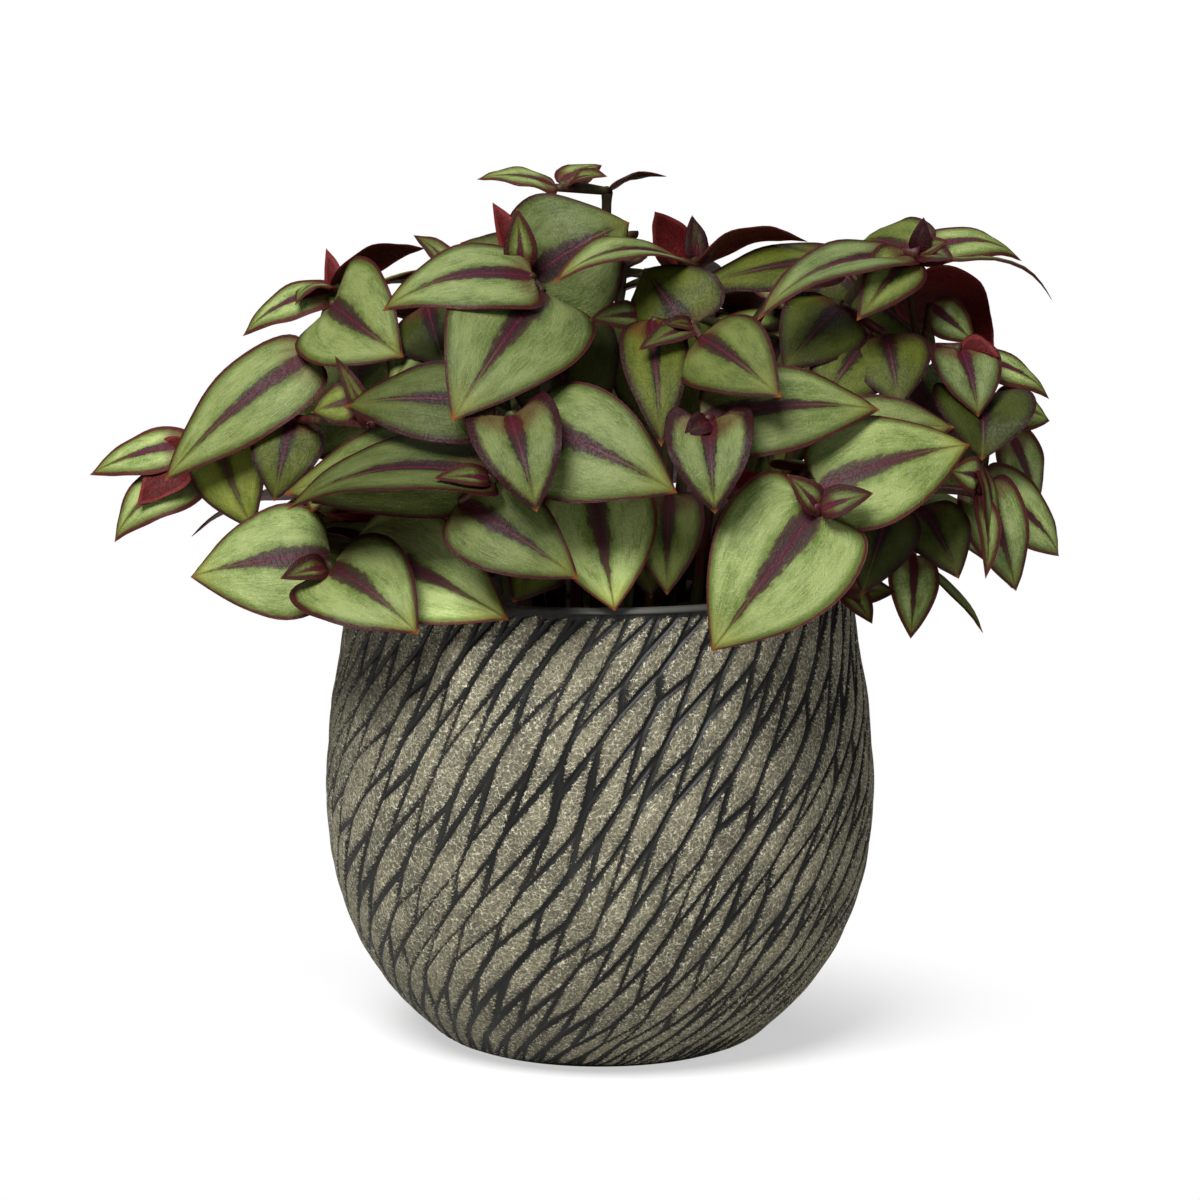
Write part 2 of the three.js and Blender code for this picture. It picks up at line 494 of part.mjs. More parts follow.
// A solid of rings about the axis, lowest first, closed by a point on the axis at each
// end. Each patch between four points is split along a groove where one crosses it.
function ringSolid(rings, columns, lowest, highest, inGroove = () => false) {
  const points = [];
  const faces = [];
  rings.forEach((ring, i) => {
    for (let c = 0; c < columns; c += 1) points.push(ring(c));
    if (i === 0) return;
    for (let c = 0; c < columns; c += 1) {
      const next = (c + 1) % columns;
      const low = (i - 1) * columns;
      const high = i * columns;
      if (inGroove(i - 1, next) && inGroove(i, c)) {
        faces.push([low + c, low + next, high + c], [low + next, high + next, high + c]);
      } else {
        faces.push([low + c, low + next, high + next], [low + c, high + next, high + c]);
      }
    }
  });
  const bottom = points.length;
  const top = bottom + 1;
  const crown = (rings.length - 1) * columns;
  points.push(new THREE.Vector3(0, 0, lowest), new THREE.Vector3(0, 0, highest));
  for (let c = 0; c < columns; c += 1) {
    const next = (c + 1) % columns;
    faces.push([bottom, next, c], [top, crown + c, crown + next]);
  }
  return solidFrom(points, faces);
}

function potRadius(height) {
  const upper = Math.max(1, POT_PROFILE.findIndex(([z]) => z >= height));
  const [z0, r0] = POT_PROFILE[upper - 1];
  const [z1, r1] = POT_PROFILE[upper];
  return r0 + (r1 - r0) * (height - z0) / (z1 - z0);
}

// Height, and how far the facets have turned, at a length along the profile from the
// foot's edge: they keep one slant to it
function alongProfile(length) {
  let height = 0;
  let turn = 0;
  let left = length;
  for (let i = 1; i < POT_PROFILE.length; i += 1) {
    const [z0, r0] = POT_PROFILE[i - 1];
    const [z1, r1] = POT_PROFILE[i];
    const step = Math.hypot(z1 - z0, r1 - r0);
    const share = THREE.MathUtils.clamp(left / step, 0, 1);
    height += (z1 - z0) * share;
    turn += share * step * Math.tan(FACET_SLANT) * 2 / (r0 + r1);
    left -= step;
  }
  return { height, turn };
}

// A point of the carving, x facets round the pot and y rows up from the foot. Columns and
// rows sway a little, but not at the foot and the lip.
function carvedPoint(x, y, rise) {
  const around = 2 * Math.PI * x / FACETS;
  const calm = 4 * y * (FACET_ROWS - y) / FACET_ROWS ** 2;
  const swayed = x + SWAY.size * calm * Math.sin(SWAY.waves * around + SWAY.turn * y);
  const waved = y + ROW_WAVE.size * calm * Math.sin(ROW_WAVE.waves * around + ROW_WAVE.turn);
  const { height, turn } = alongProfile(
    CARVED_FROM + (CARVED_TO - CARVED_FROM) * waved / FACET_ROWS);
  return polar(potRadius(height) + rise, 2 * Math.PI * swayed / FACETS + turn, height);
}

// Levels of corners, two to a row of facets. At a level every other half facet is a corner
// in the grooves, and the crest of a facet lies between two corners.
function isCorner(level, c) {
  return level >= 0 && level < 2 * FACET_ROWS && (c + Math.floor(level / 2)) % 2 === 1;
}

function cornerAt(level, c) {
  const row = Math.floor(level / 2);
  const place = (c + 2 * FACETS) % (2 * FACETS);
  const index = place + 2 * FACETS * level;
  const shoulder = level % 2 ? SHOULDER : -SHOULDER;
  return {
    x: c / 2 + CORNER_SCATTER.round * jump(index),
    y: row + 0.5 + shoulder + CORNER_SCATTER.up * jump(index + CORNER_SEEDS.up)
      + CORNER_SCATTER.pair * jump(place + 2 * FACETS * row + CORNER_SEEDS.pair),
  };
}

function carvedRing(level) {
  return (c) => {
    if (isCorner(level, c)) {
      const { x, y } = cornerAt(level, c);
      return carvedPoint(x, y, -GROOVE_SINK);
    }
    const before = cornerAt(level, c - 1);
    const after = cornerAt(level, c + 1);
    return carvedPoint((before.x + after.x) / 2, (before.y + after.y) / 2, CREST_RISE);
  };
}

// A plain ring, turned as the carving is where it ends
function plainRing(radius, height, carvedEnd) {
  const { turn } = alongProfile(carvedEnd);
  return (c) => polar(radius, Math.PI * c / FACETS + turn, height);
}

// The pot's outside: a flat foot, the carving, and a plain lip that stands a little proud
function potOutside() {
  const rings = [
    plainRing(FOOT_RADIUS, 0, CARVED_FROM),
    (c) => carvedPoint(c / 2, 0, 0),
  ];
  const firstCarved = rings.length;
  for (let level = 0; level < 2 * FACET_ROWS; level += 1) rings.push(carvedRing(level));
  rings.push((c) => carvedPoint(c / 2, FACET_ROWS, 0));
  for (const height of [RIM_HEIGHT - LIP_DEPTH / 2, RIM_HEIGHT]) {
    rings.push(plainRing(potRadius(height) + LIP_RISE, height, CARVED_TO));
  }
  return ringSolid(rings, 2 * FACETS, 0, RIM_HEIGHT, (i, c) => isCorner(i - firstCarved, c));
}

const CAVITY_COLUMNS = 20;
const CAVITY_HEIGHTS = [FLOOR, 16, 33, 72, SOIL_HEIGHT - 8];
const MOUTH_OVERCUT = 1;

function insideRadius(height) {
  return potRadius(height) - WALL;
}

function potCavity() {
  const heights = [...CAVITY_HEIGHTS, RIM_HEIGHT + MOUTH_OVERCUT];
  const rings = heights.map((height) => (c) => polar(
    insideRadius(Math.min(height, RIM_HEIGHT)), 2 * Math.PI * c / CAVITY_COLUMNS, height));
  return ringSolid(rings, CAVITY_COLUMNS, FLOOR, RIM_HEIGHT + MOUTH_OVERCUT);
}

// Soil fills the pot to a little below its rim, lumpy on top
function soilSolid() {
  const sides = CAVITY_HEIGHTS.map((height, i) => (c) => polar(
    insideRadius(height) - SOIL_GAP, 2 * Math.PI * c / CAVITY_COLUMNS,
    i === 0 ? height + SOIL_GAP : height));
  const lumps = SOIL_SHARES.map((share, i) => (c) => {
    const angle = 2 * Math.PI * c / CAVITY_COLUMNS;
    const lump = i === 0 ? -SOIL_DIP : SOIL_LUMPS.reduce(
      (sum, { size, waves, turn }) => sum + size * Math.sin(waves * angle + turn), 0);
    const radius = (insideRadius(SOIL_HEIGHT - SOIL_DIP) - SOIL_GAP) * share;
    return polar(radius, angle, SOIL_HEIGHT + lump);
  });
  return ringSolid([...sides, ...lumps], CAVITY_COLUMNS, FLOOR + SOIL_GAP, SOIL_HEIGHT + 1);
}

// Bounding boxes are compared before solids are
function apart(one, two) {
  const a = one.boundingBox();
  const b = two.boundingBox();
  return [0, 1, 2].some((i) => a.min[i] > b.max[i] || b.min[i] > a.max[i]);
}

function sharedVolume(solid, other) {
  return apart(solid, other) ? 0 : solid.intersect(other).volume();
}

function crosses(solid, others) {
  return others.some((other) => sharedVolume(solid, other) > 0);
}

const pot = potOutside().subtract(potCavity());

const shoots = Object.entries(FRONT_SHOOTS).map(([name, rows]) => ({
  name, leaves: rows.map((row) => frontLeaf(...row)),
}));
BACK_RINGS.forEach((ring, k) => {
  for (let i = 0; i < ring.count; i += 1) {
    const seed = SEEDS.ring * k + SEEDS.shoot * i + SEEDS.first;
    shoots.push({ name: `${ring.name}_${i + 1}`, leaves: ringShoot(ring, i, seed) });
  }
});

// The stem, petioles and seated leaves of a shoot on one root, grown by some clearance
function stemSolids(curve, leaves, clearance) {
  const stem = tubeSolid(curve, STEM_ROOT_RADIUS + clearance, STEM_TIP_RADIUS + clearance, STEM_STEPS);
  const petioles = leaves.filter(({ on }) => on).map(({ on, base }) => tubeSolid(
    new THREE.LineCurve3(on, base), PETIOLE_RADIUS + clearance, PETIOLE_RADIUS + clearance, 1));
  return [stem, ...petioles];
}

// The plain hole that a stem stands in, from just under its end to above the soil
function rootHole(curve) {
  const way = curve.getTangent(0);
  const start = curve.getPoint(0);
  const line = new THREE.LineCurve3(start.clone().addScaledVector(way, -HOLE_GAP),
    start.clone().addScaledVector(way, 2 * ROOT_DEPTH));
  return tubeSolid(line, STEM_ROOT_RADIUS + 2 * HOLE_GAP, STEM_ROOT_RADIUS + 3 * HOLE_GAP, 1);
}

// Stems come first, each rooted at the first place where it stands clear of the others
let soil = soilSolid();
for (const shoot of shoots) {
  const others = [pot, ...shoots.flatMap((other) => other.stem || [])];
  for (let attempt = 0; attempt < ROOT_TRIES && !shoot.stem; attempt += 1) {
    const root = rootPoint(shoot.leaves, attempt);
    const curve = stemCurve(shoot.leaves, root);
    const leaves = seatLeaves(curve, shoot.leaves);
    const inSoil = Math.hypot(root.x, root.y) < ROOT_REACH;
    if (inSoil && !stemSolids(curve, leaves, STEM_CLEARANCE).some((solid) => crosses(solid, others))) {
      shoot.stem = stemSolids(curve, leaves, 0);
      shoot.leaves = leaves;
      soil = soil.subtract(rootHole(curve));
    }
  }
}

// Leaves are bent clear of the pot, the soil and all other shoots. A leaf of the front
// takes its first clear bend, and a leaf of a ring the one that crosses its own shoot least.
for (const shoot of shoots) {
  const others = [pot, soil, ...shoots.filter((other) => other !== shoot)
    .flatMap((other) => [...other.stem, ...(other.blades || [])])];
  shoot.blades = [];
  for (const leaf of shoot.leaves) {
    const bends = SHIFTS.map((shift) => ({ shift, wide: bladeSolid(leaf, shift, CLEAR_BLADE) }))
      .filter(({ wide }) => !crosses(wide, others));
    const cost = bends.map(({ shift, wide }) => (leaf.ofRing ? 2 * Math.abs(shift)
      + shoot.blades.reduce((sum, own) => sum + sharedVolume(wide, own), 0) : 0));
    const best = bends[cost.indexOf(Math.min(...cost))];
    if (best) shoot.blades.push(bladeSolid(leaf, best.shift, BLADE));
  }
}

// Finishes
const STONEWARE = { color: 0x4a4740, roughness: 0.75, metalness: 0 };
const EARTH = { color: 0x2a211b, roughness: 0.95, metalness: 0 };
const FOLIAGE = { color: 0x7f9163, roughness: 0.5, metalness: 0 };

const plant = new THREE.Group();

function addPiece(name, solid, finish) {
  const { vertProperties, triVerts } = solid.getMesh();
  const geometry = new THREE.BufferGeometry();
  geometry.setAttribute('position', new THREE.BufferAttribute(new Float32Array(vertProperties), 3));
  geometry.setIndex(new THREE.BufferAttribute(new Uint32Array(triVerts), 1));
  geometry.computeVertexNormals();
  const mesh = new THREE.Mesh(geometry, new THREE.MeshStandardMaterial(finish));
  mesh.name = name;
  plant.add(mesh);
}

addPiece('pot', pot, STONEWARE);
addPiece('soil', soil, EARTH);
for (const { name, stem, blades } of shoots) {
  const joined = [...stem, ...blades].reduce((sum, solid) => sum.add(solid));
  const [largest] = joined.decompose().sort((a, b) => b.volume() - a.volume());
  addPiece(name, largest, FOLIAGE);
}

export default plant;
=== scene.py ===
"""A potted tradescantia: a bulbous stoneware pot with slanting carved ridges, its soil, and
leafy stems with silver-banded, purple-striped leaves.

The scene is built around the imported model. Lengths are worked out in millimetres in the
model's own frame, and the mesh makers turn them into metres. The front of the plant faces -Y.
"""

import math
from functools import partialmethod

import bpy
import numpy as np
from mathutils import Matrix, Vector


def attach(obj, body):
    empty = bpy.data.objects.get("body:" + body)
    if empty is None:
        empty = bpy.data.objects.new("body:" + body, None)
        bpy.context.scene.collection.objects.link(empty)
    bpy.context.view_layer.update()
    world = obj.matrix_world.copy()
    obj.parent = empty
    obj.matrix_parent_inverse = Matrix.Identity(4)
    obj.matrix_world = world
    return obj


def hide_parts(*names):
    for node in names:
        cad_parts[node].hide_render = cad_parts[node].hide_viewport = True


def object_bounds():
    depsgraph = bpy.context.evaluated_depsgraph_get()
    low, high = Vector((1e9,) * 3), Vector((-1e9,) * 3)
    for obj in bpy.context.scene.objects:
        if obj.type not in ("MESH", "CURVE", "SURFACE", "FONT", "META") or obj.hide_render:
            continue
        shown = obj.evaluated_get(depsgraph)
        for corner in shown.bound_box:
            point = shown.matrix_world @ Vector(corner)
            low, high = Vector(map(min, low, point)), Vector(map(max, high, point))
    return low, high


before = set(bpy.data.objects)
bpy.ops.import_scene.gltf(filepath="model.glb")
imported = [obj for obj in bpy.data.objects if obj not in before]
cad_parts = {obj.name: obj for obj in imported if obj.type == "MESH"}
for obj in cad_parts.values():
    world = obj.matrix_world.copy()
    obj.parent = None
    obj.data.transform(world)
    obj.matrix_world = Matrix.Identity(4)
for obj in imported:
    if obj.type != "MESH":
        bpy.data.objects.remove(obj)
cad_box = [list(corner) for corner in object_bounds()]


# View
# The eye stands 1.3 m from the pot, a little above it, behind a long lens. The frame is
# square, and the pot's axis runs down its middle.
MM = 0.001
EYE = np.array([0.0, -1284.0, 326.0])
EYE_PITCH = math.radians(9.0)
LENS = 141.7
scene = bpy.context.scene


def placed(data):
    """A new object of the scene that shows the data and has its name."""
    thing = bpy.data.objects.new(data.name, data)
    scene.collection.objects.link(thing)
    return thing


camera_data = bpy.data.cameras.new("camera")
camera_data.lens = LENS
camera_data.sensor_width = 36.0
camera = placed(camera_data)
camera.location = EYE * MM
camera.rotation_euler = (math.pi / 2 - EYE_PITCH, 0.0, 0.0)
scene.camera = camera


# Light
# A pale studio: a wide soft panel above and in front on the left, a weaker one on the
# right, one overhead, and a white surround that gives less light than the eye sees.
def panel_light(name, place, aim, size, power):
    light = bpy.data.lights.new(name, "AREA")
    light.shape = "DISK"
    light.size = size
    light.energy = power
    lamp = placed(light)
    lamp.location = place
    way = np.array(aim) - np.array(place)
    flat = math.hypot(way[0], way[1])
    lamp.rotation_euler = (math.atan2(flat, -way[2]), 0.0, math.atan2(way[1], way[0]) - math.pi / 2)


panel_light("key_light", (-0.4, -1.05, 1.3), (0.0, 0.0, 0.15), size=0.8, power=46.0)
panel_light("fill_light", (1.1, -0.9, 0.8), (0.0, 0.0, 0.13), size=0.9, power=3.0)
panel_light("top_light", (0.1, 0.5, 1.4), (0.0, 0.0, 0.15), size=0.9, power=4.0)

world = bpy.data.worlds.new("studio")
world.use_nodes = True
surround = world.node_tree.nodes["Background"]
surround.inputs["Color"].default_value = (1.0, 1.0, 1.0, 1.0)
path = world.node_tree.nodes.new("ShaderNodeLightPath")
level = world.node_tree.nodes.new("ShaderNodeMapRange")
level.inputs["To Min"].default_value = 0.03
level.inputs["To Max"].default_value = 1.05
world.node_tree.links.new(path.outputs["Is Camera Ray"], level.inputs["Value"])
world.node_tree.links.new(level.outputs["Result"], surround.inputs["Strength"])
scene.world = world
scene.view_settings.view_transform = "Standard"


# Floor
# One wide sheet of white paper, which bounces less light than it shows the eye. Where the eye
# sees it, it also glows white: half painted glow beside the pot, which lightens the pot's cast
# shadow, and all glow away from the plant, so that it fades into the white around it.
FLOOR_HALF = 6000.0
MIX_FACTOR, MIX_ONE, MIX_TWO, MIX_RESULT = 0, 6, 7, 2


# Finishes are node trees. Value wraps a socket, so that shader maths reads as arithmetic.
# Sockets that share their name with others of the node go by their number.
class Value:
    def __init__(self, finish, socket):
        self.finish = finish
        self.socket = socket

    def maths(self, operation, *others):
        inputs = dict(enumerate((self, *others)))
        return self.finish.node("Math", inputs, operation=operation)

    def output(self, name):
        """Another output of the node that this value comes from."""
        return Value(self.finish, self.socket.node.outputs[name])

    __add__ = __radd__ = partialmethod(maths, "ADD")
    __sub__ = partialmethod(maths, "SUBTRACT")
    __mul__ = __rmul__ = partialmethod(maths, "MULTIPLY")
    __pow__ = partialmethod(maths, "POWER")
    size = partialmethod(maths, "ABSOLUTE")

    def __rsub__(self, other):
        return (self * -1.0) + other

    def step(self, start, end):
        """0 below start, 1 above end, and an S-curve between them."""
        inputs = {"Value": self, "From Min": start, "From Max": end}
        return self.finish.node("MapRange", inputs, interpolation_type="SMOOTHSTEP")


class Finish:
    def __init__(self, name):
        self.material = bpy.data.materials.new(name)
        self.material.use_nodes = True
        self.nodes = self.material.node_tree.nodes
        self.links = self.material.node_tree.links
        self.nodes.clear()
        self.output = self.nodes.new("ShaderNodeOutputMaterial")

    def node(self, kind, inputs=None, output=0, **settings):
        """Adds a node: its settings first, then a value or a link on each named socket."""
        node = self.nodes.new("ShaderNode" + kind)
        for key, value in settings.items():
            setattr(node, key, value)
        for key, value in (inputs or {}).items():
            if isinstance(value, Value):
                self.links.new(value.socket, node.inputs[key])
            else:
                node.inputs[key].default_value = value
        return Value(self, node.outputs[output])

    def mix(self, factor, one, two):
        """The colour one where factor is 0 and two where it is 1."""
        colours = [c if isinstance(c, Value) else (*c, 1.0) for c in (one, two)]
        inputs = {MIX_FACTOR: factor, MIX_ONE: colours[0], MIX_TWO: colours[1]}
        return self.node("Mix", inputs, MIX_RESULT, data_type="RGBA")

    def noise(self, place, scale, detail=3.0, roughness=0.5):
        inputs = {"Vector": place, "Scale": scale, "Detail": detail, "Roughness": roughness}
        return self.node("TexNoise", inputs)

    def grain(self, place, scales, detail=3.0, roughness=0.5):
        """Noise with its own scale along each axis."""
        stretched = self.node("Mapping", {"Vector": place, "Scale": scales})
        return self.noise(stretched, 1.0, detail, roughness)

    def object_place(self):
        return self.node("TexCoord", output="Object")

    def attribute(self, name):
        return self.node("Attribute", output="Fac", attribute_name=name)

    def bump(self, height, distance, strength):
        inputs = {"Height": height, "Distance": distance, "Strength": strength}
        return self.node("Bump", inputs)

    def principled(self, colour, roughness, normal, specular=0.5):
        inputs = {"Base Color": colour, "Roughness": roughness, "Normal": normal}
        return self.node("BsdfPrincipled", {**inputs, "Specular IOR Level": specular})

    def surface(self, shader):
        self.links.new(shader.socket, self.output.inputs["Surface"])
        return self.material


def srgb(red, green, blue):
    """A colour as a screen shows it, 0 to 255, in the linear values that a shader takes."""
    shares = (red / 255, green / 255, blue / 255)
    return tuple(((s + 0.055) / 1.055) ** 2.4 if s > 0.04 else s / 12.92 for s in shares)


# Meshes are worked out as whole arrays on a grid of rows and columns.
def grid_faces(rows, columns, wrap=False):
    """The quads of a grid whose points are numbered row by row. With wrap, the last
    column joins the first."""
    across = columns if wrap else columns - 1
    i, j = np.meshgrid(np.arange(rows - 1), np.arange(across), indexing="ij")
    a = i * columns + j
    b = i * columns + (j + 1) % columns
    return np.stack([a, b, b + columns, a + columns], -1).reshape(-1, 4)


def fan_faces(centre, start, count, flip=False):
    """Triangles from a centre to the points of a ring, which are numbered from start."""
    first = np.arange(count)
    following = (first + 1) % count
    ring = (following, first) if flip else (first, following)
    return np.stack([np.full(count, centre), start + ring[0], start + ring[1]], -1)


def new_mesh(name, points, faces, attributes=None, uv=None):
    """A mesh from points in millimetres and a list of arrays of faces, with float
    attributes and a UV for each point."""
    mesh = bpy.data.meshes.new(name)
    loops = np.concatenate([part.ravel() for part in faces]).astype(np.int32)
    sizes = np.concatenate([np.full(len(part), part.shape[1]) for part in faces])
    mesh.vertices.add(len(points))
    mesh.vertices.foreach_set("co", (points * MM).astype(np.float32).ravel())
    mesh.loops.add(len(loops))
    mesh.loops.foreach_set("vertex_index", loops)
    mesh.polygons.add(len(sizes))
    mesh.polygons.foreach_set("loop_start", (np.cumsum(sizes) - sizes).astype(np.int32))
    mesh.polygons.foreach_set("use_smooth", np.ones(len(sizes), bool))
    mesh.update(calc_edges=True)
    for key, values in (attributes or {}).items():
        layer = mesh.attributes.new(key, "FLOAT", "POINT")
        layer.data.foreach_set("value", values.astype(np.float32))
    if uv is not None:
        layer = mesh.uv_layers.new(name="leaf")
        layer.data.foreach_set("uv", uv[loops].astype(np.float32).ravel())
    return mesh


def new_piece(mesh, material, node):
    mesh.materials.append(material)
    piece = placed(mesh)
    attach(piece, "root")
    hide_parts(node)


floor_corners = FLOOR_HALF * np.array([[-1, -1, 0], [1, -1, 0], [1, 1, 0], [-1, 1, 0]])
floor_mesh = new_mesh("floor", floor_corners, [np.array([[0, 1, 2, 3]])])
paper = Finish("floor_paper")
from_pot = paper.node("VectorMath", {0: paper.object_place()}, "Value", operation="LENGTH")
eye_sees = paper.node("LightPath", output="Is Camera Ray")
white = paper.mix(eye_sees, (0.6, 0.6, 0.58), (0.93, 0.93, 0.93))
sheet = paper.node("BsdfDiffuse", {"Color": white})
# Painted light: a white glow that lightens the pot's shadow on the sheet and takes it over further
# off
sheet_glow = paper.node("Emission", {"Strength": 1.0})
fading = eye_sees * (0.55 + 0.45 * from_pot.step(0.05, 0.14))
lit_sheet = paper.node("MixShader", {0: fading, 1: sheet, 2: sheet_glow})
floor_mesh.materials.append(paper.surface(lit_sheet))
placed(floor_mesh)


# Pot
# One fired stoneware pot, thrown round and bulbous on a narrow flat foot. Its wall is
# carved with rows of long facets that lean right as they rise, and its lip is plain.
RIM_HEIGHT = 131.0
WALL = 5.0
FLOOR = 6.0
LIP_RISE = 0.3
LIP_ROUND = 1.3
LIP_START = 129.5
FOOT_SINK = 0.3
POT_HEIGHTS = [0, 1.2, 3.7, 7, 10.5, 16, 22, 27.6, 33, 39, 50, 61.5, 72.7, 84, 95, 106, 118, 131]
POT_RADII = [
    34, 41, 45.5, 49, 52.8, 58, 62.2, 65.7, 68.2, 70.5, 73.5, 74.9, 75.4, 74.6, 73.7, 71.8, 69.9, 68
]
PROFILE_STEPS = 1200
FACETS = 54
FACET_ROWS = 6
CARVED_FROM = 10.0
CARVED_TO = 146.0
CARVED_LENGTH = CARVED_TO - CARVED_FROM
LIP_FROM = 147.4
FACET_SLANT = math.radians(33.0)
SHOULDER = 0.17
CREST_RISE = 0.45
GROOVE_SINK = 0.65
CORNER_ROUND = 0.15
CORNER_UP = 0.05
CORNER_PAIR = 0.2
SWAY = dict(size=0.35, waves=3, turn=1.3)
ROW_WAVE = dict(size=0.4, waves=5, turn=2)


def scatter(index):
    """Even scatter between -1 and 1: the fractional part of a multiple of the golden ratio."""
    return 2.0 * np.mod(index * 0.6180339887, 1.0) - 1.0


def jump(index):
    """Rougher scatter between -1 and 1, from the far digits of a sine."""
    return 2.0 * np.mod(43758.5453 * np.sin(12.9898 * index), 1.0) - 1.0


def smooth(x, start, end):
    """0 below start, 1 above end, and an S-curve between them."""
    x = np.clip((x - start) / (end - start), 0.0, 1.0)
    return x * x * (3.0 - 2.0 * x)


def pot_curve(count):
    """The outside of the pot as radius, height and length along it: the profile points
    joined by a cubic Hermite curve whose slopes are the mean of the chords on each side."""
    radius = np.array(POT_RADII, float)
    height = np.array(POT_HEIGHTS, float)
    along = np.concatenate([[0], np.cumsum(np.hypot(np.diff(radius), np.diff(height)))])
    at = np.linspace(0, along[-1], count)
    out = []
    for values in (radius, height):
        slope = np.gradient(values, along)
        k = np.clip(np.searchsorted(along, at, side="right") - 1, 0, len(along) - 2)
        span = along[k + 1] - along[k]
        t = (at - along[k]) / span
        out.append(
            (1 + 2 * t) * (1 - t) ** 2 * values[k]
            + t * (1 - t) ** 2 * span * slope[k]
            + t * t * (3 - 2 * t) * values[k + 1]
            + t * t * (t - 1) * span * slope[k + 1]
        )
    return out[0], out[1], at


profile_radius, profile_height, profile_at = pot_curve(PROFILE_STEPS)
steps = np.diff(profile_at) * 2 / (profile_radius[1:] + profile_radius[:-1])
profile_turn = math.tan(FACET_SLANT) * np.concatenate([[0], np.cumsum(steps)])


def corner(level, c):
    """A corner of the grooves, in facets round the pot and rows up: levels come two to a
    row of facets, and at each every other half facet is a corner, a little off its place.
    The two corners that end a facet's side move up or down together."""
    row = np.floor(level / 2)
    place = np.mod(c, 2 * FACETS)
    index = place + 2 * FACETS * level
    shoulder = np.where(np.mod(level, 2) == 1, SHOULDER, -SHOULDER)
    pair = CORNER_PAIR * jump(place + 2 * FACETS * row + 0.25)
    up = CORNER_UP * jump(index + 0.5) + pair
    return c / 2 + CORNER_ROUND * jump(index), row + 0.5 + shoulder + up


def groove_distance(x, y, radius):
    """How far points of the carving lie from the nearest groove, in millimetres. Grooves
    are straight runs between corners: up a facet's side, and from its shoulder left and
    right to the corners of the next row."""
    facet = 2 * np.pi * radius / FACETS
    row_rise = CARVED_LENGTH / FACET_ROWS
    lean = math.tan(FACET_SLANT)

    def offset(place):
        up = row_rise * (place[1] - y)
        return facet * (place[0] - x) + lean * up, up

    best = np.full(x.shape, 99.0)
    for i in (-1, 0, 1):
        row = np.floor(y) + i
        odd = np.mod(row + 1, 2)
        middle = 2 * np.round((2 * x - odd) / 2) + odd
        for j in (-2, 0, 2):
            c = middle + j
            shoulder = offset(corner(2 * row + 1, c))
            for end in ((2 * row, c), (2 * row + 2, c - 1), (2 * row + 2, c + 1)):
                across, up = offset(corner(*end))
                run_across, run_up = shoulder[0] - across, shoulder[1] - up
                share = -(across * run_across + up * run_up) / (run_across**2 + run_up**2)
                share = np.clip(share, 0, 1)
                best = np.minimum(best, np.hypot(across + share * run_across, up + share * run_up))
    return best


# Columns follow the lean of the facets, so that the grooves run nearly along them.
POT_COLUMNS = 864
CARVED_POINTS = 86
x, y = np.meshgrid(
    np.linspace(0, FACETS, POT_COLUMNS, endpoint=False),
    np.linspace(0, FACET_ROWS * (LIP_FROM - CARVED_FROM) / CARVED_LENGTH, CARVED_POINTS),
)
around = 2 * np.pi * x / FACETS
calm = 4 * y * np.maximum(FACET_ROWS - y, 0) / FACET_ROWS**2
swayed = x + SWAY["size"] * calm * np.sin(SWAY["waves"] * around + SWAY["turn"] * y)
waved = y + ROW_WAVE["size"] * calm * np.sin(ROW_WAVE["waves"] * around + ROW_WAVE["turn"])
at = CARVED_FROM + CARVED_LENGTH * waved / FACET_ROWS
carved_radius = np.interp(at, profile_at, profile_radius)
middle_mm = groove_distance(x, y, carved_radius)

# The facets sink into the plain clay at the lip and at the foot, and in broad patches the
# grooves are wider.
groove_mm = np.minimum(middle_mm, 0.2 + (LIP_FROM - at) * 1.4)
groove_mm = np.minimum(groove_mm, 0.6 + (at - CARVED_FROM) * 0.5)
patches = np.sin(7 * around + 2.1 * np.sin(1.3 * y + 2 * around))
broad = 0.5 + 0.5 * patches * np.sin(1.9 * y + 2.3 * np.sin(5 * around))
groove_mm = groove_mm - 0.6 * broad + 0.35
raised = smooth(groove_mm, 0.0, 1.0)
proud = CREST_RISE * (0.5 * raised + 0.5 * smooth(groove_mm, 0.5, 3.4)) - GROOVE_SINK * (1 - raised)
outside = np.stack(
    [
        carved_radius + proud,
        2 * np.pi * swayed / FACETS + np.interp(at, profile_at, profile_turn),
        np.interp(at, profile_at, profile_height),
    ]
)


def plain_rows(radius, height, turn):
    """Rows of the pot about its axis, with the columns where the carving has them."""
    turns = 2 * np.pi * x[0] / FACETS + turn
    radius, height = np.broadcast_arrays(np.atleast_1d(radius), np.atleast_1d(height))
    return np.stack(np.broadcast_arrays(radius[:, None], turns[None], height[:, None]))


# The foot is under the carving. Over it the lip rolls into the inner wall, which goes
# down to the floor.
foot_at = np.linspace(0, CARVED_FROM, 6)[:-1]
foot = plain_rows(
    np.interp(foot_at, profile_at, profile_radius) - FOOT_SINK,
    np.interp(foot_at, profile_at, profile_height),
    outside[1, 0, 0],
)
roll = np.linspace(0, np.pi, 7)
lip_radius = POT_RADII[-1] + LIP_RISE - WALL / 2 + WALL / 2 * np.cos(roll)
lip_height = RIM_HEIGHT - LIP_ROUND * (1 - np.sin(roll))
inner_height = np.linspace(RIM_HEIGHT - 2 * LIP_ROUND, FLOOR, 7)
inner_radius = np.interp(inner_height, POT_HEIGHTS, POT_RADII) - WALL
lip = plain_rows(
    np.concatenate([[lip_radius[0] - 0.1, lip_radius[0]], lip_radius, inner_radius]),
    np.concatenate([[LIP_START, LIP_START + 0.1], lip_height, inner_height]),
    outside[1, -1, 0],
)


def about_axis(radius, turn, height):
    """Points from their distance from the pot's axis, their bearing and their height."""
    return np.stack(np.broadcast_arrays(radius * np.cos(turn), radius * np.sin(turn), height), -1)


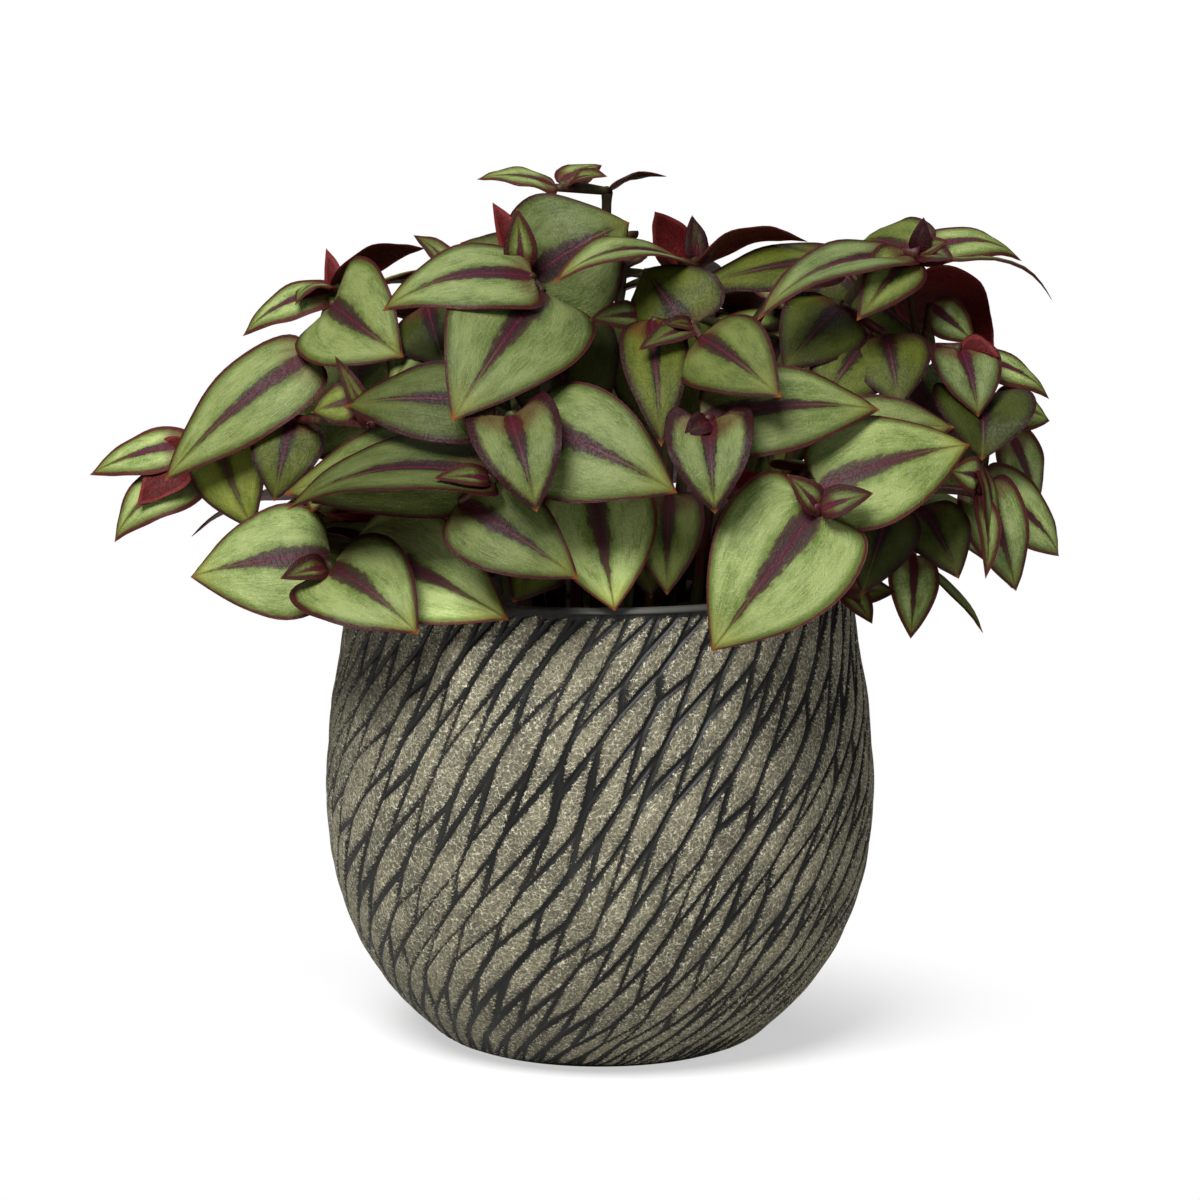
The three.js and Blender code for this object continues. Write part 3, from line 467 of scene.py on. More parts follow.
points = about_axis(*np.concatenate([foot, outside, lip], 1))
pot_rows = len(points)
points = points.reshape(-1, 3)
under = fan_faces(len(points), 0, POT_COLUMNS, flip=True)
inside = fan_faces(len(points) + 1, len(points) - POT_COLUMNS, POT_COLUMNS)
points = np.vstack([points, [[0, 0, 0], [0, 0, FLOOR]]])


def over_pot(values):
    """An attribute of the carving over the whole pot, 0 where it is plain."""
    before = np.zeros(foot.shape[1] * POT_COLUMNS)
    after = np.zeros(lip.shape[1] * POT_COLUMNS + 2)
    return np.concatenate([before, values.ravel(), after])


pot_mesh = new_mesh(
    "stoneware_pot",
    points,
    [grid_faces(pot_rows, POT_COLUMNS, wrap=True), under, inside],
    {"groove_mm": over_pot(groove_mm), "middle_mm": over_pot(middle_mm)},
)

# Unglazed stoneware: the raised facets are sandy, with short pale fibres and dark flecks,
# frayed at their edges and darker grey toward the grooves, partly the clay's ashy grey and partly
# painted shade where the rounded facet edges turn away from the light. The grooves are nearly
# black, with a near-black line along their middle. The lip is lighter grey: partly its own grey,
# partly a painted highlight along its rolled top, made pale enough to show through the leaves'
# shadow.
clay = Finish("stoneware")
place = clay.object_place()
middle_value = clay.attribute("middle_mm")
groove_value = clay.attribute("groove_mm")
worn = clay.noise(place, 28.0, 4.0)
patch = clay.noise(place, 70.0, 3.0)
curl = clay.noise(place, 760.0, 1.0)
cut = clay.noise(place, 1000.0, 1.0)
grit = clay.noise(place, 1500.0, 3.0, 0.7)
fibre = (1.0 - (curl - 0.5).size().step(0.015, 0.05)) * cut.step(0.36, 0.46)
gap = (curl - 0.5).size().step(0.07, 0.13)
ragged = groove_value + (grit - 0.5) * 2.2 + (worn - 0.5) * 1.2
sandy = ragged.step(0.6, 0.85)
# Darker grey toward the grooves: partly the clay's ashy grey, partly painted shade on the rounded
# facet edges
ash_and_shade = 1.0 - ragged.step(0.6, 1.7)
# A near-black line along the middle of each groove
middle_line = (1.0 - (middle_value + (worn - 0.5) * 0.8).size().step(0.1, 0.3)) * (1.0 - sandy)
dark_clay = clay.mix(worn.step(0.35, 0.65), srgb(14, 14, 13), srgb(34, 34, 32))
dark_clay = clay.mix(middle_line * 0.85, dark_clay, srgb(6, 6, 6))
sand = clay.mix(patch.step(0.35, 0.65), srgb(114, 110, 92), srgb(144, 138, 114))
sand = clay.mix(gap * 0.4, sand, srgb(44, 43, 35))
sand = clay.mix(grit.step(0.46, 0.34) * 0.7, sand, srgb(34, 33, 28))
sand = clay.mix(ash_and_shade * 0.6, sand, srgb(40, 40, 35))
sand = clay.mix(fibre * (0.6 + ash_and_shade * 0.3), sand, srgb(226, 220, 194))
height = clay.node("SeparateXYZ", {"Vector": place}).output("Z")
# Painted highlight: the rolled top of the lip is lighter, partly its own grey, made pale enough to
# show through the leaves' shadow
lip_grey_and_light = height.step(0.1293, 0.1304) * (0.5 + 0.5 * worn.step(0.3, 0.7))
colour = clay.mix(sandy, dark_clay, sand)
colour = clay.mix(lip_grey_and_light * 0.8, colour, srgb(116, 116, 110))
relief = clay.bump((fibre * 0.9 + grit + curl * 0.8) * sandy, distance=0.0008, strength=0.9)
stone = clay.principled(colour, 0.5 + 0.3 * sandy, relief, specular=0.3)
new_piece(pot_mesh, clay.surface(stone), "pot")


# Soil
# Damp bark and peat compost, which fills the pot to a little below the rim. The stems
# stand in it.
SOIL_HEIGHT = 119.0
SOIL_RINGS = 70
SOIL_COLUMNS = 200
SOIL_PLAY = 0.3
SOIL_EDGE = np.interp(SOIL_HEIGHT, POT_HEIGHTS, POT_RADII) - WALL - SOIL_PLAY


def crumbs(x, y, size, seed):
    """Rounded lumps: each point's height falls off from the nearest of seeds scattered one
    to a square of the given size."""
    cell_x = np.floor(x / size)
    cell_y = np.floor(y / size)
    best = np.full(x.shape, 9.0)
    for i in range(-1, 2):
        for j in range(-1, 2):
            number = (cell_x + i) * 37.0 + (cell_y + j) * 91.0 + seed + 4000.0
            seed_x = cell_x + i + 0.5 + 0.4 * scatter(number)
            seed_y = cell_y + j + 0.5 + 0.4 * scatter(number * 1.3 + 2.0)
            best = np.minimum(best, np.hypot(x / size - seed_x, y / size - seed_y))
    return 1.0 - np.clip(best, 0.0, 1.0) ** 2


ring, turn = np.meshgrid(
    np.linspace(0.02, 1.0, SOIL_RINGS),
    np.linspace(0, 2 * np.pi, SOIL_COLUMNS, endpoint=False),
    indexing="ij",
)
swell = SOIL_HEIGHT + 1.2 * np.sin(3 * turn + 2) * ring + 0.8 * np.sin(7 * turn + 5) * ring
top = about_axis(SOIL_EDGE * ring, turn, swell)
x, y = top[..., 0], top[..., 1]
top[..., 2] += 2.4 * crumbs(x, y, 5.0, 1.0) + 1.1 * crumbs(x, y, 2.2, 9.0) - 2.6
wall_height = np.array([SOIL_HEIGHT - 8, 95, 72, 50, 33, 16, FLOOR + SOIL_PLAY])[:, None]
wall_radius = np.interp(wall_height, POT_HEIGHTS, POT_RADII) - WALL - SOIL_PLAY
soil_points = np.vstack([top, about_axis(wall_radius, turn[:1], wall_height)]).reshape(-1, 3)
soil_count = len(soil_points)
soil_mesh = new_mesh(
    "potting_soil",
    np.vstack([soil_points, [[0, 0, top[0, :, 2].mean()], [0, 0, FLOOR + SOIL_PLAY]]]),
    [
        grid_faces(SOIL_RINGS + len(wall_height), SOIL_COLUMNS, wrap=True)[:, ::-1],
        fan_faces(soil_count, 0, SOIL_COLUMNS),
        fan_faces(soil_count + 1, soil_count - SOIL_COLUMNS, SOIL_COLUMNS, flip=True),
    ],
)
compost = Finish("compost")
place = compost.object_place()
crumb = compost.noise(place, 420.0, 4.0, 0.7)
clod = compost.noise(place, 110.0, 3.0)
colour = compost.mix(clod.step(0.35, 0.7), srgb(34, 26, 20), srgb(66, 50, 38))
colour = compost.mix(crumb.step(0.62, 0.72), colour, srgb(120, 98, 74))
relief = compost.bump(crumb + clod, distance=0.0015, strength=0.9)
earth = compost.principled(colour, 0.92, relief)
new_piece(soil_mesh, compost.surface(earth), "soil")


# Leafy stems
# Each shoot is a juicy stem that stands in the soil, with leaves set on it left and right,
# the youngest at its end. The shoots of the front are placed leaf by leaf, and those of
# the back and sides stand in rings.
STEM_ROOT_RADIUS = 1.8
STEM_TIP_RADIUS = 1.2
STEM_MOST = 2.3
STEM_ROWS = 60
NODE_SWELL = 0.35
NODE_REACH = 2.2
PETIOLE_RADIUS = 1.1
PETIOLE_ROWS = 10
SEAT_REACH = 4.5
STEM_STEPS = 6
STEM_BEND = 0.4
STEM_RISE = 0.12
RIM_CLEARANCE = 12
ROOT_DEPTH = 9.0
ROOT_REACH = 44.0
ROOT_STEP = 3.2
ROOT_TRIES = 60
GOLDEN_ANGLE = 2.39996
BLADE = 0.7
LOBE_REACH = 0.12
EDGE_DROOP = 0.12
WIDEST = (0.45, 1.0)
TIP_MISS = 0.75 * BLADE
SHIFTS = [0, 3, -3, 6, -6, 9, -9, 12, -12, 16, -16, 20, -20]

# Each leaf: base and tip (across and up on the plane through the pot's axis, as the eye
# sees it, and how far in front of that plane), width, facing (right, up, toward the eye),
# arch near base and tip or one for both, fold, how far the lobes reach behind the base, and
# its look: how pale it is, which is partly its own colour and partly painted shade and light
# for how much light reaches it, how yellow, which is partly its own colour and partly a painted
# glow of light through it, and for some how flushed with burgundy
FRONT_SHOOTS = {
    "lower_left": [
        ((-14, 138, 56), (-24, 122, 62), 18, (0, 0.2, 1), 0.12, 0, 0.05, 0, 0.5),
        ((-2, 154, 59), (4.1, 119.5, 66), 31, (0, 0.15, 1), 0.1, 0.1, 0.1, 1, 0.2),
    ],
    "lower_right": [
        ((12, 140, 54), (14, 123, 60), 12, (0, 0.2, 1), 0.12, 0, 0.05, 0, 0.4),
        ((19, 152, 60), (18.4, 124, 66), 19, (-0.1, 0.15, 1), 0.1, 0.1, 0.1, 0.25, 0.4),
    ],
    "front_left": [
        ((-68, 138, 40), (-25, 117, 66), 35, (-0.2, 0.6, 0.8), 0.1, 0.05, 0.08, 1, 0.1),
        ((-74, 135, 46), (-112.6, 129, 42), 33, (-0.2, 0.45, 0.85), 0.14, -0.05, 0.05, 0.6, 0.15),
        ((-74, 132.5, 56), (-50, 113, 76), 31, (0.1, 0.5, 0.85), 0.15, 0.15, 0.18, 0.5, 0.2, 0.5),
        ((-75, 131.5, 56), (-88, 128.5, 64), 8, (0, 0.5, 0.8), 0.1, 0.5, 0, 0.4, 0.3, 0.6),
    ],
    "left_middle": [
        ((-27.5, 161, 66), (-86.7, 152, 58), 30, (0, 0.5, 0.8), 0.16, 0, 0.05, 0.3, 0.3),
        ((-30, 154, 76), (-86, 147.6, 66), 24, (0, 0.85, 0.5), 0.19, 0.3, 0.1, 0.15, 0.15),
        ((-38.5, 150, 74), (-5.8, 128.5, 88), 26, (-0.3, 0.5, 0.8), 0.12, 0.1, 0.05, 0.25, 0.2),
        ((-60, 152, 58), (-79.5, 149.5, 60), 9, (0, 0.7, 0.6), 0.1, 0.2, 0, 0.6, 0.7),
        ((-30.3, 156, 80), (-45.7, 156.4, 86), 7, (0, 0.6, 0.8), 0.1, 0.5, 0, 0.4, 0.2),
    ],
    "heart_left": [
        ((-20, 172, 72), (21.2, 152.3, 86), 34, (-0.1, 0.5, 0.85), 0.14, -0.05, 0.05, 0.35, 0.1),
        ((-28.3, 176.4, 72), (-70, 176, 64), 25, (0, 0.6, 0.8), 0.14, 0, 0.05, 0.1, 0.2, 0.3),
        ((-24.5, 173.3, 80), (-17.3, 147, 95), 24, (0, 0.45, 0.9), 0.2, 0.35, 0.25, 0.25, 0.15, 1),
    ],
    "top_left": [
        ((-47, 204, 36), (-42, 187, 48), 24, (-0.2, 0.2, 1), 0.1, 0, 0.05, 0, 0.2),
        ((-20, 212, 42), (8, 226.5, 38), 39, (-0.15, 0.25, 0.95), (0.12, 0.3), -0.1, 0.1, 0.2, 0.1),
        ((-15.5, 207.5, 50), (-40.6, 172, 78), 38, (0.1, 0.5, 0.85), 0.16, 0.12, 0.1, 0.3, 0.1),
        ((-18.2, 211.5, 54), (-59.4, 202.4, 60), 25, (0, 0.75, 0.65), (0.2, 0.24),
         0.05, 0.1, 0.4, 0.05),
        ((-22, 214, 40), (-38, 221, 32), 18, (-0.1, 0.4, 0.9), 0.1, 0, 0, 0.1, 0.2),
        ((-20.8, 212.5, 52), (-22.5, 230.4, 50), 9, (0.1, 0, 1), 0.06, 0.5, 0, 0.4, 0.4, 0.3),
        ((-21.5, 214, 48), (-29.2, 232, 42), 9, (0.3, 0.2, -1), 0.1, 0.3, 0, 0.4, 0.1),
    ],
    "crown": [
        ((-12, 236, 10), (-33.3, 238.2, 14), 14, (0, 1, 0.35), 0.14, 0.1, 0.05, 0.6, 0.2),
        ((-11, 237, 6), (0.5, 242, -4), 10, (0, 0.8, 0.6), 0.14, 0, 0, 0.5, 0.5),
        ((-8, 237, 8), (2, 239, 16), 7, (0, 0.8, 0.6), 0.14, 0.3, 0, 0.5, 0.3),
        ((2, 235, 5), (18, 239, 2), 9, (0.1, 0.9, -0.3), 0.18, 0.1, 0, 0.4, 0.1),
    ],
    "upper_middle": [
        ((22, 216, 36), (-13, 209.6, 76), 17, (0, 0.9, 0.45), (0.12, 0.2), 0.25, 0.05, 0.5, 0.1),
        ((26.7, 216.8, 28), (56.4, 221.3, 26), 16, (0, 0.9, -0.45), 0.25, 0, 0.05, 0.4, 0.1),
        ((25, 214, 30), (14.9, 229.5, 36), 13, (-0.3, -0.3, -0.9), 0.14, 0.2, 0, 0.5, 0.1),
        ((26, 215, 30), (25, 228.5, 24), 8, (0.5, 0, 0.9), 0.1, 0.2, 0, 0.1, 0.1, 1),
    ],
    "middle_right": [
        ((14, 200, 56), (16.8, 165, 80), 18, (0, 0.5, 0.8), 0.14, 0.1, 0.05, 0, 0.5),
        ((24.5, 198, 56), (12, 214, 38), 28, (-0.2, 0.3, 1), 0.14, 0, 0.1, 0, 0.4),
        ((27.4, 195, 64), (49.6, 178.6, 92), 25, (-0.1, 0.4, 0.9), 0.14, 0, 0.1, 0.2, 0.3),
        ((12, 201, 48), (-3, 200, 54), 9, (0, 0.5, 0.9), 0.1, 0.1, 0, 0.4, 0.2),
        ((24.5, 195.6, 62), (10.3, 191.6, 72), 8, (0, 0.6, 0.8), 0.1, 0.4, 0.05, 0.2, 0.3),
        ((25.5, 198, 60), (17, 199, 66), 5, (0, 0.6, 0.8), 0.1, 0.4, 0, 0.2, 0.6),
    ],
    "heart_right": [
        ((29.4, 176.5, 74), (76.5, 175.3, 66), 27, (0, 0.55, 0.85),
         0.15, 0.05, 0.05, 0.4, 0.1, 0.2),
        ((31, 170.6, 84), (31.6, 146.5, 97), 23, (-0.1, 0.45, 0.9), 0.2, 0.35, 0.25, 0.3, 0.1, 1),
        ((30, 172, 84), (23, 168, 90), 7, (0, 0.5, 0.8), 0.1, 0.4, 0, 0.05, 0.1, 1),
    ],
    "front_right": [
        ((63, 167, 60), (97, 170.5, 58), 22, (0, 0.5, 0.85), 0.16, 0, 0.05, 0.3, 0.2),
        ((60, 153.5, 76), (101.2, 165.6, 62), 32, (-0.1, 0.5, 0.85), 0.14, 0, 0.08, 0.55, 0.2),
        ((59.7, 147.5, 82), (30.7, 108.4, 90), 38, (0.2, 0.45, 0.9), 0.16, 0.08, 0.15, 0.6, 0.1),
        ((59, 147.5, 84), (51.2, 157.5, 86), 8, (0.3, 0.3, 0.9), 0.1, 0.5, 0, 0.5, 0.1, 0.3),
        ((60.5, 147.5, 84), (75, 152.3, 86), 9, (0, 0.5, 0.8), 0.1, 0.5, 0, 0.35, 0.1, 0.5),
    ],
    "upper_right": [
        ((66, 216, 22), (23.7, 207.5, 52), 17, (0, 0.7, 0.7), (0.1, 0.12), 0, 0.05, 0, 0.5),
        ((84, 215, 33), (70, 199.7, 52), 16, (0.2, 0.5, 0.8), 0.14, 0.2, 0, 0.25, 0.4),
        ((83.4, 217.7, 32), (42.5, 199.4, 58), 18, (0, 0.9, 0.45), (0.12, 0.26),
         0.25, 0.05, 0.35, 0),
        ((85, 216.8, 34), (123, 205.5, 38), 10, (0.4, 0.9, 0.05), (0.02, 0.36),
         0, 0.05, 0.4, 0.1, 0.4),
        ((86.5, 219, 28), (114.7, 216, 18), 14, (0, 0.8, 0.6), 0.25, 0, 0.05, 0.6, 0.1),
        ((85.5, 219, 30), (71, 221, 8), 22, (0.1, 0.4, 0.9), 0.14, 0.1, 0.1, 0.2, 0.4),
        ((86, 219, 33), (88, 228, 34), 6, (0, 0.2, 1), 0.1, 0.3, 0, 0.1, 0.1, 1),
        ((87, 219, 31), (95, 221.6, 34), 6, (0, 0.7, 0.7), 0.1, 0.3, 0, 0.4, 0.3),
        ((87, 218, 32), (96.5, 216.4, 38), 8, (0, 0.7, 0.7), 0.1, 0.3, 0, 0.3, 0.1, 0.6),
    ],
    "right_side": [
        ((84, 210, 14), (107.5, 193, 14), 28, (0.3, 0.6, -0.7), (0.2, 0.3), 0, 0.05, 0.3, 0.1),
        ((90, 204, 16), (102.5, 193.5, 18), 12, (0.1, 0.3, 0.9), 0.1, 0, 0, 0.8, 0),
        ((99, 191, 28), (103.5, 173.3, 38), 19, (0.2, 0.3, 0.9), 0.14, 0.2, 0.2, 0.3, 0),
        ((100, 190, 22), (122.7, 178.3, 12), 13, (0.2, 0.7, 0.6), (0.14, 0.2), 0, 0.05, 0.8, 0),
        ((98.5, 191.8, 28), (109, 190, 32), 9, (0, 0.3, -1), 0.12, 0.3, 0, 0.6, 0.1),
    ],
    "right_low": [
        ((104, 179, 28), (104.6, 161.4, 44), 28, (0.1, 0.5, 0.8), 0.2, 0.4, 0.1, 0, 0.2),
        ((108, 177, 26), (123, 172.2, 20), 14, (0, 0.6, 0.8), 0.14, 0, 0, 0.6, 0.2),
        ((112, 169, 16), (119.4, 148, 6), 14, (0.3, 0.2, 0.9), 0.14, 0, 0.05, 0.8, 0.1),
    ],
    "right_bottom": [
        ((104, 161, 38), (105.5, 133, 48), 12, (0.8, 0.3, 0.3), 0.14, 0.1, 0, 0.4, 0.2),
        ((104.5, 156, 30), (126, 134.8, 14), 19, (0.3, 0.4, 0.85), (0.14, 0.18), 0, 0.05, 0.95, 0),
        ((104.8, 154.8, 34), (114.5, 125.1, 34), 18, (0.1, 0.3, 0.95), 0.12, 0.1, 0.1, 0.5, 0),
        ((104, 157, 42), (95.5, 158.5, 50), 10, (-0.2, 0.2, 1), 0.1, 0.2, 0, 0.9, 0.1),
        ((104, 152, 42), (106, 128.5, 52), 8, (0.5, 0.3, 0.8), 0.14, 0.4, 0, 0.8, 0.1),
    ],
    "right_under": [
        ((80, 150, 50), (72, 124, 62), 20, (0, 0.2, 1), 0.12, 0, 0.05, 0, 0.2),
        ((86, 135, 28), (85.6, 111.8, 36), 14, (0.1, 0.2, 1), 0.14, 0.2, 0.05, 0.95, 0.1),
        ((67, 124.5, 46), (81.5, 125, 42), 8, (0, 0.5, 0.9), 0.1, 0.3, 0, 0.2, 0.6),
        ((68, 125, 44), (75, 116, 52), 8, (0.3, 0.3, 0.9), 0.1, 0.3, 0, 0.7, 0.6),
        ((88, 148.5, 44), (98.7, 128.5, 58), 20, (0.2, 0.4, 0.9), 0.12, 0.1, 0.05, 0.05, 0.3),
    ],
    "left_top": [
        ((-78, 191, 26), (-119.4, 155.5, 28), 25, (-0.2, 0.5, 0.85), 0.13, 0, 0.05, 0.45, 0.2),
        ((-72.7, 204, 22), (-53.7, 189.7, 44), 32, (-0.3, 0.3, 0.9), 0.14, 0.3, 0.15, 0.4, 0.2),
        ((-73.8, 207, 16), (-97.4, 195.5, 14), 13, (-0.1, 0.7, 0.65), 0.2, 0, 0.05, 0.7, 0),
        ((-73, 207, 18), (-47.6, 219.5, 8), 15, (-0.2, 0.7, -0.6), 0.2, 0, 0.1, 0.5, 0.1),
        ((-73, 209, 14), (-83, 204, 24), 12, (-0.3, 0.9, 0.1), (0.3, 0.4), 0, 0, 0.5, 0.1),
        ((-73, 208, 16), (-74.5, 219.5, 8), 6, (0.3, 0.2, -1), 0.14, 0.2, 0, 0.5, 0.1),
    ],
    "left_far": [
        ((-105, 168, 18), (-95, 142, 30), 22, (-0.2, 0.1, 1), 0.12, 0, 0.1, 0.15, 0.9),
        ((-112, 166, 10), (-139.8, 157.3, 4), 14, (0, 0.6, 0.8), 0.14, 0, 0.05, 0.8, 0.1),
        ((-113, 167, 12), (-126.9, 149, 18), 15, (0.6, 0.2, -0.75), 0.14, 0.1, 0, 0.3, 0.1),
        ((-110, 157, 6), (-133.3, 138.7, 10), 17, (-0.4, 0.4, 0.8), (0.3, 0.36), 0, 0.05, 0.7, 0.2),
    ],
    "left_inner": [
        ((-84, 173, 30), (-89.4, 150, 42), 20, (-0.1, 0.1, 1), 0.12, 0, 0.05, 0, 0.4),
        ((-66, 178, 46), (-79, 174.5, 44), 12, (0, 0.4, 0.9), 0.14, 0, 0, 0.25, 0.8),
        ((-63, 171, 54), (-72.4, 190.2, 50), 6, (0.3, 0.2, 0.9), 0.06, 0.4, 0, 0.25, 0.7),
    ],
    # This shoot and the next fill the middle of the plant behind the others, and most of their
    # leaves are set very dark: painted shade for the dark inside of the plant.
    "inner_left": [
        ((-58, 194, 0), (-86, 160, 6), 34, (-0.2, 0.3, 1), 0.12, 0, 0.08, 0.5, 0.4),
        ((-12, 202, 6), (-8, 160, 24), 32, (0, 0.3, 1), 0.12, 0, 0.08, 0, 0.3),
    ],
    "inner_right": [
        ((64, 214, 0), (92, 190, 4), 30, (0.2, 0.3, 1), 0.12, 0, 0.08, 0, 0.3),
        ((84, 184, 0), (104, 150, 6), 34, (0.2, 0.3, 1), 0.12, 0, 0.08, 0.3, 0.1),
        ((48, 194, 8), (46, 150, 26), 32, (0, 0.3, 1), 0.12, 0, 0.08, 0.15, 0.5),
        ((16, 204, 6), (20, 160, 26), 32, (0, 0.3, 1), 0.12, 0, 0.08, 0.1, 0.5),
    ],
    "right_inner": [
        ((74, 196, 34), (60, 176, 50), 26, (-0.1, 0.3, 0.9), 0.12, 0, 0.05, 0.05, 0.4),
        ((78, 196, 36), (82, 176, 50), 22, (0, 0.3, 0.9), 0.12, 0, 0.05, 0, 0.4),
        ((66, 204, 30), (50, 186, 46), 24, (-0.1, 0.4, 0.9), 0.12, 0, 0.05, 0, 0.3),
    ],
}

# Rings of shoots: name, height, reach from the axis, first and last bearing, how many
# shoots, the length of their leaves and how many leaves each has
RING_KEYS = ("name", "height", "reach", "from", "to", "count", "leaf", "leaves")
BACK_RINGS = [
    ("back_low", 146, 82, 14, 154, 5, 54, 5),
    ("back_middle", 182, 72, 14, 172, 5, 50, 5),
    ("back_high", 210, 46, 40, 156, 4, 46, 5),
    ("back_crown", 220, 16, 110, 110, 1, 40, 5),
    ("side_low", 140, 70, -14, 196, 2, 38, 4),
    ("side_middle", 160, 70, -24, 206, 2, 46, 5),
    ("side_high", 206, 46, 2, 206, 2, 44, 5),
]

# Leaves of a ring, grown and young, as shares of its leaf's length or of the stem
LEAF_STEP = 0.12
SIZE_LOSS = 0.06
SPREAD_LOSS = 0.15
FACING_OUT = 0.9
FACING_SIDE = 0.3
GROWN = dict(size=1, spread=1.1, droop=-0.45, width=0.68, arch=(0.14, 0.2), fold=0.06, lobe=0.06)
YOUNG = dict(size=0.4, spread=0.3, droop=0.35, width=0.45, arch=(0.1, 0.1), fold=0.4, lobe=0)
STRAY = dict(bearing=5, reach=5, height=5, spread=0.25, droop=0.3, length=0.1, fold=0.08)


def unit(vectors):
    return vectors / np.linalg.norm(vectors, axis=-1, keepdims=True)


def seen(across, up, forward):
    """The point on the line from the eye through a place on the plane of the pot's axis."""
    on_plane = np.array([across, 0.0, up])
    return on_plane + (EYE - on_plane) * (-forward / EYE[1])


def front_leaf(base, tip, width, facing, arch, fold, lobe, *look):
    """A leaf from its row. Its tip moves with shift, which says how far it is bent."""
    right, up, forward = facing
    return {
        "base": seen(*base),
        "tip": lambda shift: seen(tip[0], tip[1], tip[2] + shift),
        "facing": np.array([right, -forward, up], float),
        "width": width,
        "arch": np.broadcast_to(arch, 2),
        "fold": fold,
        "lobe": lobe,
        "look": look,
    }


def root_point(leaves, attempt):
    """A place for the shoot's root, under it. Later attempts wind out in a spiral."""
    apex = leaves[-1]["base"]
    bearing = math.atan2(apex[1], apex[0])
    reach = min(ROOT_REACH, 0.5 * math.hypot(apex[0], apex[1]))
    step = ROOT_STEP * math.sqrt(attempt)
    turn = attempt * GOLDEN_ANGLE
    return np.array(
        [
            reach * math.cos(bearing) + step * math.cos(turn),
            reach * math.sin(bearing) + step * math.sin(turn),
            SOIL_HEIGHT - ROOT_DEPTH,
        ]
    )


def stem_points(leaves, root, at):
    """A quadratic curve that rises from the root and arches out to the shoot's end."""
    apex = leaves[-1]["base"]
    out = math.hypot(apex[0] - root[0], apex[1] - root[1])
    bend = root + STEM_BEND * (apex - root)
    bend[2] = max(apex[2], RIM_HEIGHT + RIM_CLEARANCE) + STEM_RISE * out
    at = np.asarray(at, float)[..., None]
    return (1 - at) ** 2 * root + 2 * at * (1 - at) * bend + at * at * apex


def ring_shoot(ring, order, seed):
    """The leaves of a shoot of a ring: they alternate left and right of it, droop outwards
    and get smaller toward its end, which a young leaf closes."""
    share = order / (ring["count"] - 1) if ring["count"] > 1 else 0.5
    bearing = ring["from"] + (ring["to"] - ring["from"]) * share + STRAY["bearing"] * scatter(seed)
    bearing = math.radians(bearing)
    out = np.array([math.cos(bearing), math.sin(bearing), 0.0])
    across = np.array([-out[1], out[0], 0.0])
    up = np.array([0.0, 0.0, 1.0])
    reach = ring["reach"] + STRAY["reach"] * scatter(seed + 7)
    apex = out * reach + up * (ring["height"] + STRAY["height"] * scatter(seed + 11))
    ends = [{"base": apex}]
    root = root_point(ends, 0)
    leaves = []
    for i in range(ring["leaves"]):
        last = i == ring["leaves"] - 1
        form = YOUNG if last else GROWN
        loss = 0 if last else i
        side = 1 if i % 2 else -1
        spread = (form["spread"] - SPREAD_LOSS * loss) * side
        spread += STRAY["spread"] * scatter(seed * 3 + i)
        droop = form["droop"] + STRAY["droop"] * scatter(seed * 5 + i)
        length = ring["leaf"] * (form["size"] - SIZE_LOSS * loss)
        length *= 1 + STRAY["length"] * scatter(seed + i)
        base = stem_points(ends, root, 1 - LEAF_STEP * (ring["leaves"] - 1 - i))
        tip = base + length * unit(out + across * spread + up * droop)
        leaves.append(
            {
                "base": base,
                "tip": lambda shift, tip=tip: tip + up * shift,
                "facing": up + out * FACING_OUT + across * FACING_SIDE * side,
                "width": length * form["width"],
                "arch": form["arch"],
                "fold": form["fold"] + STRAY["fold"] * scatter(seed + 2 * i),
                "lobe": form["lobe"],
                "look": None,
            }
        )
    return leaves


def seat_leaves(leaves, root):
    """A leaf close to the stem starts on it, and one further off has a petiole, from the
    place on the stem that is nearest to its base."""
    corners = stem_points(leaves, root, np.arange(2, STEM_STEPS + 1) / STEM_STEPS)
    seated = []
    for leaf in leaves:
        start, end = corners[:-1], corners[1:]
        way = end - start
        share = ((leaf["base"] - start) * way).sum(-1) / (way * way).sum(-1)
        on = start + np.clip(share, 0, 1)[:, None] * way
        on = on[np.argmin(np.linalg.norm(on - leaf["base"], axis=-1))]
        near = np.linalg.norm(on - leaf["base"]) < SEAT_REACH
        seated.append({**leaf, "base": on, "on": None} if near else {**leaf, "on": on})
    return seated


def leaf_frame(leaf, shift):
    """A leaf's midrib as the four points of a cubic curve, and the way across the leaf."""
    base = leaf["base"]
    tip = leaf["tip"](shift)
    length = np.linalg.norm(tip - base)
    chord = (tip - base) / length
    normal = unit(leaf["facing"] - leaf["facing"].dot(chord) * chord)
    first = base + chord * length / 3 + normal * leaf["arch"][0] * length
    second = base + chord * 2 * length / 3 + normal * leaf["arch"][1] * length
    return (base, first, second, tip), np.cross(normal, chord)


